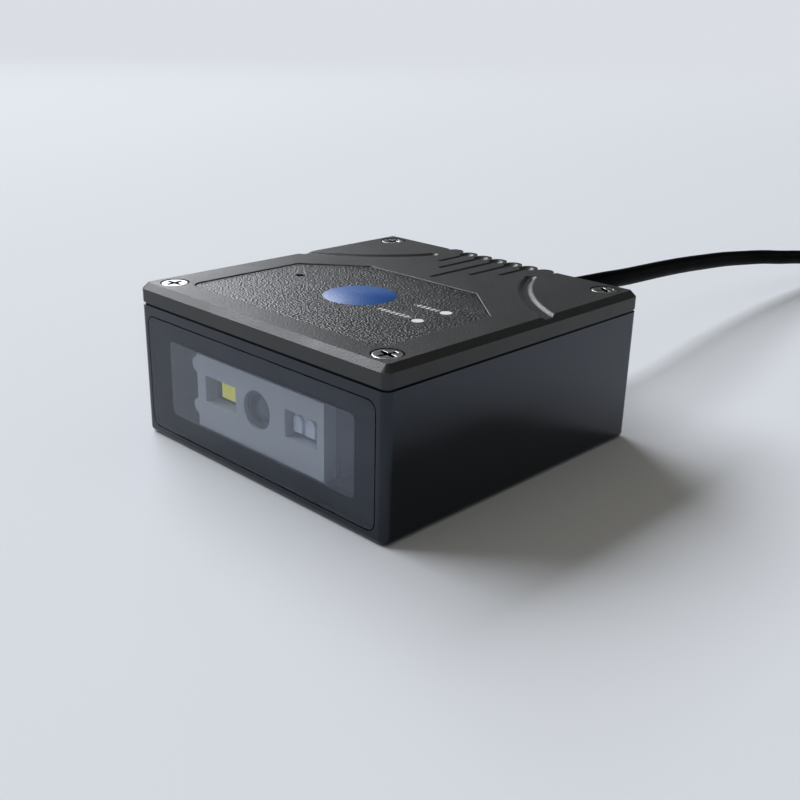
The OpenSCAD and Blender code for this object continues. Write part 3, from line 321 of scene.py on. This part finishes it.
# The grommet: soft black PVC moulded round the lead, gripping the rear wall, with a ribbed tail that bends.
# Its ribs come from the tool, and their edges are blunt.
# Soft PVC: dull black that grips the light in a fine etched grain.
soft_pvc = grained(new_finish("matt black moulded PVC", "#101113", 0.6), 0.3, 0.008, 0.52, 0.66)
grommet = softened("cable_grommet", "grommet_moulding", 0.15)
dressed(grommet, soft_pvc, "black_rubber", "cable_grommet")


# The scan engine: grey mouldings round a lens barrel, a lamp and an aimer, seen through the window.
# The bezel is moulded with two lugs on its left end and an opening for each light.
def coated(node, material):
    """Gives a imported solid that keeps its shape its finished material."""
    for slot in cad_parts[node].material_slots:
        slot.material = material


# Matt polycarbonate from an etched tool: even greys with no shine, each darker than the one before it.
engine_grey = grained(new_finish("matt grey polycarbonate", "#a3a4a8", 0.6), 0.2, 0.004, 0.55, 0.7)
bezel = softened("engine_bezel", "bezel_moulding", 0.08)
dressed(bezel, engine_grey, "engine_plastic", "engine_bezel")
chassis_grey = grained(new_finish("matt mid-grey polycarbonate", "#7d8085", 0.6), 0.2, 0.005, 0.5, 0.66)
coated("optics_chassis", chassis_grey)
barrel_grey = grained(new_finish("matt dark grey polycarbonate", "#2b2d31", 0.55), 0.2, 0.004, 0.5, 0.6)
barrel = softened("lens_barrel", "lens_barrel_turned", 0.06)
dressed(barrel, barrel_grey, "engine_plastic", "lens_barrel")

# The lens: ground glass with a dark coating, domed in front and seated on the barrel's shoulder.
# Coated glass: a quiet dark grey, because the coating takes nearly all of the shine away.
lens_glass = new_finish("coated lens glass", "#2f3236", 0.25, {"IOR": 1.6})
grained(lens_glass, 1.2, 0.004, 0.2, 0.3)
lens = softened("camera_lens", "lens_ground", 0.05, sharp=40)
dressed(lens, lens_glass[0], "lens_glass", "camera_lens")

# The lamp: a white light-emitting diode under yellow phosphor, soldered to a dark board behind the bezel.
# The phosphor is a grainy resin with a softly rounded rim.
# Solder mask: a matt dark grey skin over the laminate.
dark_board = grained(new_finish("matt dark grey solder mask", "#55585d", 0.5), 0.25, 0.003, 0.4, 0.55)
coated("lamp_board", dark_board)
# Phosphor resin: a chalky yellow with a faint painted glow set as emission, so it looks lit from within.
phosphor = new_finish("yellow phosphor resin", "#e6e05a", 0.45, {
    "Emission Color": linear("#dcd648"), "Emission Strength": 0.22})
grained(phosphor, 0.12, 0.004, 0.4, 0.5)
lamp = softened("illumination_lamp", "lamp_resin", 0.08)
dressed(lamp, phosphor[0], "lamp_phosphor", "illumination_lamp")

# The aimer: one moulded lens with two arched facets that throw a line of light.
# It is set in the bezel's right opening, on the lamp's board.
# Clear polycarbonate that scatters light in its facets: pale and whitish, with a soft polish.
aimer_plastic = grained(new_finish("clear polycarbonate lens", "#c9d0d8", 0.2), 0.6, 0.004, 0.15, 0.25)
aimer = softened("aimer_lens", "aimer_lens_moulding", 0.1)
dressed(aimer, aimer_plastic, "clear_lens", "aimer_lens")

# The boards: glass-fibre laminate under green solder mask, with black chips and ivory nylon sockets.
# They are sealed in the case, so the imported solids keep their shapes.
# Solder mask, ribbon film and lamp resin are satin, and chip epoxy, nylon and wire insulation are dull.
# The sensor's cover glass is dark and polished.
board_green = grained(new_finish("green solder mask", "#1d5a3c", 0.35), 0.4, 0.004, 0.3, 0.42)
chip_black = grained(new_finish("matt chip epoxy", "#222326", 0.6), 0.1, 0.002, 0.5, 0.65)
nylon = grained(new_finish("ivory nylon", "#d9cfae", 0.45), 0.3, 0.003, 0.4, 0.5)
wire_red = grained(new_finish("red wire insulation", "#8f2a26", 0.4), 0.3, 0.002, 0.35, 0.45)
ribbon_film = grained(new_finish("ribbon film", "#dcd3b4", 0.3), 0.5, 0.002, 0.25, 0.35)
sensor_glass = grained(new_finish("sensor cover glass", "#2c3340", 0.08), 0.5, 0.001, 0.06, 0.12)
lamp_white = grained(new_finish("white lamp resin", "#f0ece0", 0.3), 0.2, 0.003, 0.25, 0.36)
for node in ("sensor_board", "main_board"):
    coated(node, board_green)
for node in ("decoder_chip", "sounder"):
    coated(node, chip_black)
for node in ("engine_socket", "board_socket", "harness_header", "harness_plug"):
    coated(node, nylon)
coated("harness_wires", wire_red)
coated("flat_ribbon", ribbon_film)
coated("image_sensor", sensor_glass)
coated("status_lamps", lamp_white)

# The window: a panel cut from clear acrylic sheet, laid flush in the front wall's recess.
# A black frame is printed and glued behind it, so only the middle is clear.
# Polished sheet: clear and sharp in reflection, with a thin haze of wiping marks that greys what is behind.
acrylic = new_finish("clear acrylic sheet", "#eef2f6", 0, {
    "IOR": 1.49, "Transmission Weight": 1, "Specular Tint": linear("#d6e2f6")})
tree, surface, place = acrylic[1:]
wiping_length = 9
wiping_stretch = 6
wiped = add(tree, "ShaderNodeMapping", values={"Scale": (1, 1, wiping_stretch)}, links={"Vector": place})
marks = add(tree, "ShaderNodeTexNoise", values={"Scale": 1 / (wiping_length * MM), "Detail": 3}, links={
    "Vector": wiped.outputs["Vector"]})
haze_share = add(tree, "ShaderNodeMapRange",
                 values={"From Min": 0.3, "From Max": 0.7, "To Min": 0.02, "To Max": 0.04},
                 links={"Value": marks.outputs["Fac"]})
haze = add(tree, "ShaderNodeBsdfDiffuse", values={"Color": linear("#bcc6de")})
hazed = add(tree, "ShaderNodeMixShader", links={
    0: haze_share.outputs["Result"], 1: surface.outputs["BSDF"], 2: haze.outputs["BSDF"]})
# Light falls through the sheet onto the engine as through thin air, with a little loss.
lamp_rays = add(tree, "ShaderNodeLightPath")
let_through = add(tree, "ShaderNodeBsdfTransparent", values={"Color": linear("#e3e8ec")})
pane = add(tree, "ShaderNodeMixShader", links={
    0: lamp_rays.outputs["Is Shadow Ray"], 1: hazed.outputs["Shader"], 2: let_through.outputs["BSDF"]})
tree.links.new(pane.outputs["Shader"], tree.nodes["Material Output"].inputs["Surface"])
sheet = merged("scan_window", "window_sheet")
dressed(sheet, acrylic[0], "clear_acrylic", "scan_window")
# Black screen print: the sheet wets it with no air between, so it has no gloss of its own.
print_and_edge_shade = new_finish("black screen print and painted edge shade", "#0a0b12", 0.5, {"Specular IOR Level": 0})
grained(print_and_edge_shade, 0.3, 0.001, 0.45, 0.55)
# The print is bonded to the sheet: its face lies a hair inside the sheet's rear, so no air shows there.
print_bond = 0.02
same_height = 0.001
border = merged("window_frame", "printed_border")
front_face = min(corner.co.y for corner in border.data.vertices)
for corner in border.data.vertices:
    if corner.co.y < front_face + same_height * MM:
        corner.co.y -= print_bond * MM
dressed(border, print_and_edge_shade[0], "black_adhesive", "window_frame")
# The sheet's sawn edges get the black print as painted shade, so they carry no light round the rim.
sheet.data.materials.append(print_and_edge_shade[0])
for face in sheet.data.polygons:
    face.material_index = 1 if abs(face.normal.y) < 0.5 else 0

# The cover: a lid moulded in dark grey ABS with a fine spark-eroded texture, grooved for grip at the rear.
# The tool's edges are crisp, so chamfer, recess and grooves carry thin lines of light.
# Spark texture: a dark grey with a broad, slightly sandy sheen; the grain is drawn coarser than the real one.
cover_plastic = new_finish("spark-textured dark grey ABS", "#232625", 0.42, {"Specular IOR Level": 0.44})
grained(cover_plastic, 0.25, 0.042, 0.38, 0.46, patch=7)
cover_top = 22.6
recess_floor = 22.25
groove_zone = 18.4
# How far up a face looks, from 0 for an upright wall to 1 for a flat floor: leaning walls lie between these.
steepest = 0.3
flattest = 0.9


def shallow_rim(edge):
    """True for the upper edges of the film's recess and both edges of the swept channels' leaning walls."""
    if any(end.co.y > groove_zone * MM for end in edge.verts):
        return False
    heights = [end.co.z / MM for end in edge.verts]
    at_top = max(abs(height - cover_top) for height in heights) < same_height
    at_floor = max(abs(height - recess_floor) for height in heights) < same_height
    for face in edge.link_faces:
        foot = min(corner.co.z for corner in face.verts) / MM
        lean = abs(face.normal.z)
        upper = at_top and lean < flattest
        lower = at_floor and steepest < lean < flattest
        if abs(foot - recess_floor) < same_height and (upper or lower):
            return True
    return False


cover = merged("top_cover", "cover_moulding", shallow_rim, 0.2)
dressed(cover, cover_plastic[0], "cover_plastic", "top_cover")

# The film: a polycarbonate label with a coarse velvet grain, laid in the cover's recess.
# A blue disc is printed on it, with a row of small white dashes beside each light.
film_black = "#080a09"
# Coarse grain: each bead glints on the side towards the window and is black on the other.
# The beads are drawn coarser than real ones, which would blur into an even grey in the view.
film = new_finish("coarse-grained polycarbonate film", film_black, 0.3, {"Specular IOR Level": 0.42})
grained(film, 0.32, 0.16, 0.27, 0.33, patch=5, detail=1)
tree, surface, place = film[1:]
disc_centre = (0.35, -6.4)
disc_radius = 5.15
disc_edge_slope = 0.28
ink_edge = 0.05
ink_grain = 0.15
ink_roughness = 0.4
axes = add(tree, "ShaderNodeSeparateXYZ", links={"Vector": place})
flat = add(tree, "ShaderNodeCombineXYZ", links={"X": axes.outputs["X"], "Y": axes.outputs["Y"]})
away = add(tree, "ShaderNodeVectorMath", {"operation": "DISTANCE"},
           {1: (disc_centre[0] * MM, disc_centre[1] * MM, 0)}, {0: flat.outputs["Vector"]})
in_disc = add(tree, "ShaderNodeMapRange",
              values={"From Min": (disc_radius + ink_edge) * MM, "From Max": (disc_radius - ink_edge) * MM},
              links={"Value": away.outputs["Value"]})
dash_rows = [(8.8, 12.9, -4.1), (6.9, 12.7, -9.1)]
dash_pitch = 0.84
dash_width = 0.5
dash_height = 0.9
dashes = None
for start, stop, row in dash_rows:
    tests = [
        add(tree, "ShaderNodeMath", {"operation": "COMPARE"}, {1: row * MM, 2: dash_height / 2 * MM},
            {0: axes.outputs["Y"]}),
        add(tree, "ShaderNodeMath", {"operation": "COMPARE"},
            {1: (start + stop) / 2 * MM, 2: (stop - start) / 2 * MM}, {0: axes.outputs["X"]}),
    ]
    step = add(tree, "ShaderNodeMath", {"operation": "MULTIPLY"}, {1: 1 / (dash_pitch * MM)},
               {0: axes.outputs["X"]})
    part = add(tree, "ShaderNodeMath", {"operation": "FRACT"}, links={0: step.outputs["Value"]})
    tests.append(add(tree, "ShaderNodeMath", {"operation": "LESS_THAN"}, {1: dash_width / dash_pitch},
                     {0: part.outputs["Value"]}))
    both = add(tree, "ShaderNodeMath", {"operation": "MULTIPLY"},
               links={0: tests[0].outputs["Value"], 1: tests[1].outputs["Value"]})
    row_mask = add(tree, "ShaderNodeMath", {"operation": "MULTIPLY"},
                   links={0: both.outputs["Value"], 1: tests[2].outputs["Value"]})
    dashes = row_mask if dashes is None else add(
        tree, "ShaderNodeMath", {"operation": "MAXIMUM"},
        links={0: dashes.outputs["Value"], 1: row_mask.outputs["Value"]})
inked = add(tree, "ShaderNodeMix", {"data_type": "RGBA"}, {"A": linear(film_black), "B": linear("#0b4e96")},
            {"Factor": in_disc.outputs["Result"]})
printed = add(tree, "ShaderNodeMix", {"data_type": "RGBA"}, {"B": linear("#c8cbc9")},
              {"Factor": dashes.outputs["Value"], "A": inked.outputs["Result"]})
tree.links.new(printed.outputs["Result"], surface.inputs["Base Color"])
# The ink fills the grain in part, so the disc is smoother than the bare film.
ink_fill = add(tree, "ShaderNodeMapRange", values={"To Min": 1, "To Max": ink_grain}, links={
    "Value": in_disc.outputs["Result"]})
tree.links.new(ink_fill.outputs["Result"], tree.nodes["Bump"].inputs["Strength"])
bare_gloss = surface.inputs["Roughness"].links[0].from_socket
ink_gloss = add(tree, "ShaderNodeMix", values={"B": ink_roughness}, links={
    "Factor": in_disc.outputs["Result"], "A": bare_gloss})
tree.links.new(ink_gloss.outputs["Result"], surface.inputs["Roughness"])
# It stands on the film like a flat drop, so the sheen of the window slides off to one side.
# Half the square of the way out gives the drop just that slope at its edge.
share_out = add(tree, "ShaderNodeMath", {"operation": "DIVIDE"}, {1: disc_radius * MM}, {
    0: away.outputs["Value"]})
drop = add(tree, "ShaderNodeMath", {"operation": "POWER"}, {1: 2}, {0: share_out.outputs["Value"]})
drop_height = add(tree, "ShaderNodeMath", {"operation": "MULTIPLY"}, {1: -0.5}, {0: drop.outputs["Value"]})
drop_bump = add(tree, "ShaderNodeBump", values={"Distance": disc_edge_slope * disc_radius * MM}, links={
    "Strength": in_disc.outputs["Result"], "Height": drop_height.outputs["Value"],
    "Normal": tree.nodes["Bump"].outputs["Normal"]})
tree.links.new(drop_bump.outputs["Normal"], surface.inputs["Normal"])
overlay = softened("overlay_film", "film_label", 0.05)
dressed(overlay, film[0], "label_film", "overlay_film")

# The light pipe: one acrylic moulding whose two ends show as white dots beside the dashes.
# It hangs in the cover over the two lamps on the board, and its ends stand flush with the film.
# Frosted acrylic: milky white and dull, since its skin scatters the light.
frosted = grained(new_finish("frosted acrylic", "#dfe3e3", 0.5), 0.2, 0.004, 0.45, 0.6)
coated("light_pipe", frosted)

# The screws: steel M2 pan heads with a cross recess, nickel plated, sunk in the cover's counterbores.
# Four of them hold the cover on its posts; like screws hold the board and the engine inside.
# Bright nickel, with faint polishing marks; below the face the colour turns black, a painted shade for the
# shaded cross recess.
screw_face = 22.55
recess_shade_start = 0.03
recess_shade_full = 0.1
nickel_colour = "#b4b5b6"
nickel = new_finish("nickel-plated steel", nickel_colour, 0.3, {"Metallic": 1})
grained(nickel, 0.2, 0.004, 0.25, 0.35, patch=1.5)
tree, surface, place = nickel[1:]
# Painted shade: the nickel colour turns black below the screw face, standing in for the shade in the cross
# recess.
depth = add(tree, "ShaderNodeSeparateXYZ", links={"Vector": place})
recess_shade = add(tree, "ShaderNodeMapRange",
            values={"From Min": (screw_face - recess_shade_full) * MM, "From Max": (screw_face - recess_shade_start) * MM},
            links={"Value": depth.outputs["Z"]})
plated = add(tree, "ShaderNodeMix", {"data_type": "RGBA"},
             {"A": linear("#0c0c0d"), "B": linear(nickel_colour)}, {"Factor": recess_shade.outputs["Result"]})
tree.links.new(plated.outputs["Result"], surface.inputs["Base Color"])
screw_sizes = {
    "Spacing X": 42.8, "Spacing Y": 43.8, "Seat Height": 21.15, "Head Diameter": 3.8, "Face Diameter": 3.6,
    "Wall Height": 1.3, "Crown Height": 0.1, "Core Diameter": 1.6, "Core Length": 8,
    "Recess Span": 2.6, "Recess Width": 0.6, "Recess Depth": 0.7,
}
tree, size, end = sized_tree("pan screws", screw_sizes)
half = {}
for label in ("Head Diameter", "Face Diameter", "Core Diameter"):
    halved = add(tree, "ShaderNodeMath", {"operation": "MULTIPLY"}, {1: 0.5}, {0: size[label]})
    half[label] = halved.outputs["Value"]
wall = add(tree, "GeometryNodeMeshCone", values={"Vertices": 48}, links={
    "Radius Top": half["Head Diameter"], "Radius Bottom": half["Head Diameter"],
    "Depth": size["Wall Height"]})
crown = add(tree, "GeometryNodeMeshCone", values={"Vertices": 48}, links={
    "Radius Top": half["Face Diameter"], "Radius Bottom": half["Head Diameter"],
    "Depth": size["Crown Height"]})
crown_place = add(tree, "ShaderNodeCombineXYZ", links={"Z": size["Wall Height"]})
crown_up = add(tree, "GeometryNodeTransform", links={
    "Geometry": crown.outputs["Mesh"], "Translation": crown_place.outputs["Vector"]})
core = add(tree, "GeometryNodeMeshCone", values={"Vertices": 24}, links={
    "Radius Top": half["Core Diameter"], "Radius Bottom": half["Core Diameter"],
    "Depth": size["Core Length"]})
down = add(tree, "ShaderNodeMath", {"operation": "MULTIPLY"}, {1: -1}, {0: size["Core Length"]})
core_place = add(tree, "ShaderNodeCombineXYZ", links={"Z": down.outputs["Value"]})
core_down = add(tree, "GeometryNodeTransform", links={
    "Geometry": core.outputs["Mesh"], "Translation": core_place.outputs["Vector"]})
body = add(tree, "GeometryNodeMeshBoolean", {"operation": "UNION", "solver": "EXACT"})
for part in (wall.outputs["Mesh"], crown_up.outputs["Geometry"], core_down.outputs["Geometry"]):
    tree.links.new(part, body.inputs["Mesh 2"])
head_height = add(tree, "ShaderNodeMath", {"operation": "ADD"}, links={
    0: size["Wall Height"], 1: size["Crown Height"]})
deep = add(tree, "ShaderNodeMath", {"operation": "MULTIPLY"}, {1: 2}, {0: size["Recess Depth"]})
blade_size = add(tree, "ShaderNodeCombineXYZ", links={
    "X": size["Recess Span"], "Y": size["Recess Width"], "Z": deep.outputs["Value"]})
blade = add(tree, "GeometryNodeMeshCube", links={"Size": blade_size.outputs["Vector"]})
blade_place = add(tree, "ShaderNodeCombineXYZ", links={"Z": head_height.outputs["Value"]})
blades = []
for quarter in (0, 1):
    quarter_turn = (0, 0, quarter * math.pi / 2)
    blades.append(add(tree, "GeometryNodeTransform", values={"Rotation": quarter_turn}, links={
        "Geometry": blade.outputs["Mesh"], "Translation": blade_place.outputs["Vector"]}))
cut = add(tree, "GeometryNodeMeshBoolean", {"operation": "DIFFERENCE", "solver": "EXACT"},
          links={"Mesh 1": body.outputs["Mesh"]})
for part in blades:
    tree.links.new(part.outputs["Geometry"], cut.inputs["Mesh 2"])
corners = add(tree, "GeometryNodeMeshGrid", values={"Vertices X": 2, "Vertices Y": 2}, links={
    "Size X": size["Spacing X"], "Size Y": size["Spacing Y"]})
seat = add(tree, "ShaderNodeCombineXYZ", links={"Z": size["Seat Height"]})
seats = add(tree, "GeometryNodeTransform", links={
    "Geometry": corners.outputs["Mesh"], "Translation": seat.outputs["Vector"]})
turns = add(tree, "FunctionNodeRandomValue", {"data_type": "FLOAT_VECTOR"}, {
    "Min": (0, 0, 0), "Max": (0, 0, math.pi / 2), "Seed": 5})
repeated(tree, end, seats.outputs["Geometry"], cut.outputs["Mesh"], nickel[0], turns.outputs["Value"])
screws = grown("cover_screw_set", tree, screw_sizes, edge=0.06)
dressed(screws, nickel[0], "nickel_steel", "cover_screws")
# The screws inside are plain nickel plate with no painted recess shade, out of sight.
inner_nickel = new_finish("plain nickel-plated steel", "#b9babb", 0.3, {"Metallic": 1})
grained(inner_nickel, 0.2, 0.003, 0.24, 0.36)
coated("board_screws", inner_nickel[0])
coated("engine_screws", inner_nickel[0])

# The plug: a steel USB shell round a white tongue, in a grip of satin black PVC moulded over the cable.
# The shell is folded from bright plated sheet, with four latch windows.
# Bright sheet: a pale metal that mirrors softly, with a faint unevenness from the rolling.
plug_steel = new_finish("bright plated sheet", "#c9cacc", 0.2, {"Metallic": 1})
grained(plug_steel, 0.4, 0.002, 0.16, 0.26, patch=3)
shell = softened("plug_shell", "plug_shell_folded", 0.06)
dressed(shell, plug_steel[0], "plug_steel", "plug_shell")
# Satin PVC: black, with a broad soft shine on its rounded edges.
grip_plastic = grained(new_finish("satin black moulded PVC", "#0d0e10", 0.42), 0.25, 0.004, 0.36, 0.5)
grip = softened("plug_grip", "plug_grip_moulding", 0.6, segments=3)
dressed(grip, grip_plastic, "plug_mould", "plug_grip")
# Moulded insulator: a plain, slightly waxy white.
tongue_white = grained(new_finish("white plug insulator", "#e6e6e4", 0.4), 0.3, 0.002, 0.35, 0.45)
coated("plug_tongue", tongue_white)
# Four sprung contacts lie in a row on the tongue's face. Gilt: a warm, bright yellow metal.
gilt = grained(new_finish("gilt contact spring", "#c9a04a", 0.28, {"Metallic": 1}), 0.2, 0.002, 0.22, 0.34)
contact_sizes = {
    "Row X": 42, "Row Y": 105.4, "Row Z": 3.86, "Pitch": 2.3, "Width": 1, "Length": 7.6, "Thickness": 0.16,
}
contact_count = 4
tree, size, end = sized_tree("plug contacts", contact_sizes)
contact_size = add(tree, "ShaderNodeCombineXYZ", links={
    "X": size["Width"], "Y": size["Length"], "Z": size["Thickness"]})
contact = add(tree, "GeometryNodeMeshCube", links={"Size": contact_size.outputs["Vector"]})
row_start = add(tree, "ShaderNodeMath", {"operation": "MULTIPLY_ADD"}, {1: -(contact_count - 1) / 2},
                {0: size["Pitch"], 2: size["Row X"]})
row_place = add(tree, "ShaderNodeCombineXYZ", links={
    "X": row_start.outputs["Value"], "Y": size["Row Y"], "Z": size["Row Z"]})
row_step = add(tree, "ShaderNodeCombineXYZ", links={"X": size["Pitch"]})
contact_row = add(tree, "GeometryNodeMeshLine", values={"Count": contact_count}, links={
    "Start Location": row_place.outputs["Vector"], "Offset": row_step.outputs["Vector"]})
repeated(tree, end, contact_row.outputs["Mesh"], contact.outputs["Mesh"], gilt)
contacts = grown("plug_contact_set", tree, contact_sizes, edge=0.06)
dressed(contacts, gilt, "insert_brass")

# The ties: two straps of black hook-and-loop tape drawn round the coil, opposite each other.
# Each wraps the whole coil in one loop with rounded corners.
# Woven tape: a dull charcoal nap; its loops are drawn at 0.45 mm, coarser than the real ones.
strap = grained(new_finish("woven hook-and-loop tape", "#16171a", 0.8), 0.45, 0.16, 0.7, 0.9)
tie_sizes = {
    "Middle Radius": 19.02, "Loop Width": 13.86, "Loop Height": 10.25, "Loop Middle": 5.425,
    "Corner Radius": 1.4, "Tape Width": 6, "Tape Thickness": 0.6,
    "Coil X": coil_centre[0], "Coil Y": coil_centre[1],
}
tie_turn = math.radians(60)
tree, size, end = sized_tree("coil ties", tie_sizes)
loop = add(tree, "GeometryNodeCurvePrimitiveQuadrilateral", links={
    "Width": size["Loop Width"], "Height": size["Loop Height"]})
rounded = add(tree, "GeometryNodeFilletCurve", {"mode": "POLY"}, {"Count": 6}, {
    "Curve": loop.outputs["Curve"], "Radius": size["Corner Radius"]})
tape = add(tree, "GeometryNodeCurvePrimitiveQuadrilateral", links={
    "Width": size["Tape Thickness"], "Height": size["Tape Width"]})
band = add(tree, "GeometryNodeCurveToMesh", links={
    "Curve": rounded.outputs["Curve"], "Profile Curve": tape.outputs["Curve"]})
band_place = add(tree, "ShaderNodeCombineXYZ", links={"X": size["Middle Radius"], "Z": size["Loop Middle"]})
stood = add(tree, "GeometryNodeTransform", values={"Rotation": (math.pi / 2, 0, 0)}, links={
    "Geometry": band.outputs["Mesh"], "Translation": band_place.outputs["Vector"]})
coil_middle = add(tree, "ShaderNodeCombineXYZ", links={"X": size["Coil X"], "Y": size["Coil Y"]})
middles = add(tree, "GeometryNodeMeshLine", values={"Count": 2, "Offset": (0, 0, 0)}, links={
    "Start Location": coil_middle.outputs["Vector"]})
which = add(tree, "GeometryNodeInputIndex")
spin = add(tree, "ShaderNodeMath", {"operation": "MULTIPLY_ADD"}, {1: math.pi, 2: tie_turn}, {
    0: which.outputs["Index"]})
turned = add(tree, "ShaderNodeCombineXYZ", links={"Z": spin.outputs["Value"]})
repeated(tree, end, middles.outputs["Mesh"], stood.outputs["Geometry"], strap, turned.outputs["Vector"])
ties = grown("coil_tie_set", tree, tie_sizes, edge=0.12)
dressed(ties, strap, "tie_strap", "coil_ties")

# The table: a wide pale sheet under the reader that runs on into a pale background.
# It lies a hair below the case, so that the two faces don't meet in one plane.
# Pale paper: matt, with hardly any shine; far from the reader it fades into the background's own light.
floor_drop = 0.05
floor_half = 3000
fade_start = 350
fade_end = 1300
background = linear("#dadee4")
floor_corners = []
for x, y in ((-1, -1), (1, -1), (1, 1), (-1, 1)):
    floor_corners.append((x * floor_half * MM, y * floor_half * MM, -floor_drop * MM))
floor_mesh = bpy.data.meshes.new("table")
floor_mesh.from_pydata(floor_corners, [], [(0, 1, 2, 3)])
floor = bpy.data.objects.new("table", floor_mesh)
scene.collection.objects.link(floor)
paper, tree, surface, place = new_finish("pale matt paper", "#dcdfe4", 0.9, {"Specular IOR Level": 0.2})
reach = add(tree, "ShaderNodeVectorMath", {"operation": "LENGTH"}, links={0: place})
soft_step = {"interpolation_type": "SMOOTHSTEP"}
far = add(tree, "ShaderNodeMapRange", soft_step, {"From Min": fade_start * MM, "From Max": fade_end * MM},
          {"Value": reach.outputs["Value"]})
glow = add(tree, "ShaderNodeEmission", values={"Color": background, "Strength": 1})
blend = add(tree, "ShaderNodeMixShader", links={
    0: far.outputs["Result"], 1: surface.outputs["BSDF"], 2: glow.outputs["Emission"]})
tree.links.new(blend.outputs["Shader"], tree.nodes["Material Output"].inputs["Surface"])
floor.data.materials.append(paper)

# The light: a wide window far to the left, high enough for a short soft shadow, and a low one further back.
# The room's upper walls are dim under a warm ceiling, so the black plastics mirror little but the windows.
window_distance = 8
# Each window as (name, degrees around, degrees above the table, size in metres, watts).
panes = [
    ("daylight", 184, 39.5, (9.2, 3.5), 915),
    ("low_daylight", 154.5, 17, (3, 3.7), 90),
]
for name, around, above, spread, power in panes:
    around = math.radians(around)
    above = math.radians(above)
    towards = Vector((
        math.cos(around) * math.cos(above), math.sin(around) * math.cos(above), math.sin(above)))
    daylight = bpy.data.lights.new(name, "AREA")
    daylight.shape = "RECTANGLE"
    daylight.size, daylight.size_y = spread
    daylight.energy = power
    daylight.color = linear("#f6f9ff")[:3]
    window_lamp = bpy.data.objects.new(name, daylight)
    window_lamp.location = towards * window_distance
    window_lamp.rotation_euler = towards.to_track_quat("Z", "Y").to_euler()
    scene.collection.objects.link(window_lamp)
world = bpy.data.worlds.new("room")
world.use_nodes = True
scene.world = world
tree = world.node_tree
room = tree.nodes["Background"]
way = add(tree, "ShaderNodeTexCoord").outputs["Generated"]
aim = add(tree, "ShaderNodeSeparateXYZ", links={"Vector": way})
# The wall that the cover mirrors is dim from just above the table; the others turn dim more slowly.
# Each edge is a span of the sine of the angle above the table, and the side edge of the cosine from the wall.
mirrored_azimuth = math.radians(134)
side_edge = (0.5, 0.8)
mirrored_edge = (0.08, 0.14)
other_edge = (0.08, 0.45)
ceiling_edge = (0.45, 0.85)
mirrored_side = (math.cos(mirrored_azimuth), math.sin(mirrored_azimuth), 0)
facing = add(tree, "ShaderNodeVectorMath", {"operation": "DOT_PRODUCT"}, {1: mirrored_side}, {0: way})
shares = []
for span, source in (
        (side_edge, facing.outputs["Value"]), (mirrored_edge, aim.outputs["Z"]),
        (other_edge, aim.outputs["Z"]), (ceiling_edge, aim.outputs["Z"])):
    share = add(tree, "ShaderNodeMapRange", soft_step, {"From Min": span[0], "From Max": span[1]}, {
        "Value": source})
    shares.append(share.outputs["Result"])
near_side, low_edge, high_edge, overhead = shares
over_edge = add(tree, "ShaderNodeMix", links={"Factor": near_side, "A": high_edge, "B": low_edge})
upper = add(tree, "ShaderNodeMix", {"data_type": "RGBA"}, {"A": linear("#222221"), "B": linear("#918d83")},
            {"Factor": overhead})
tone = add(tree, "ShaderNodeMix", {"data_type": "RGBA"}, {"A": background},
           {"Factor": over_edge.outputs["Result"], "B": upper.outputs["Result"]})
tree.links.new(tone.outputs["Result"], room.inputs["Color"])
scene.view_settings.view_transform = "Standard"
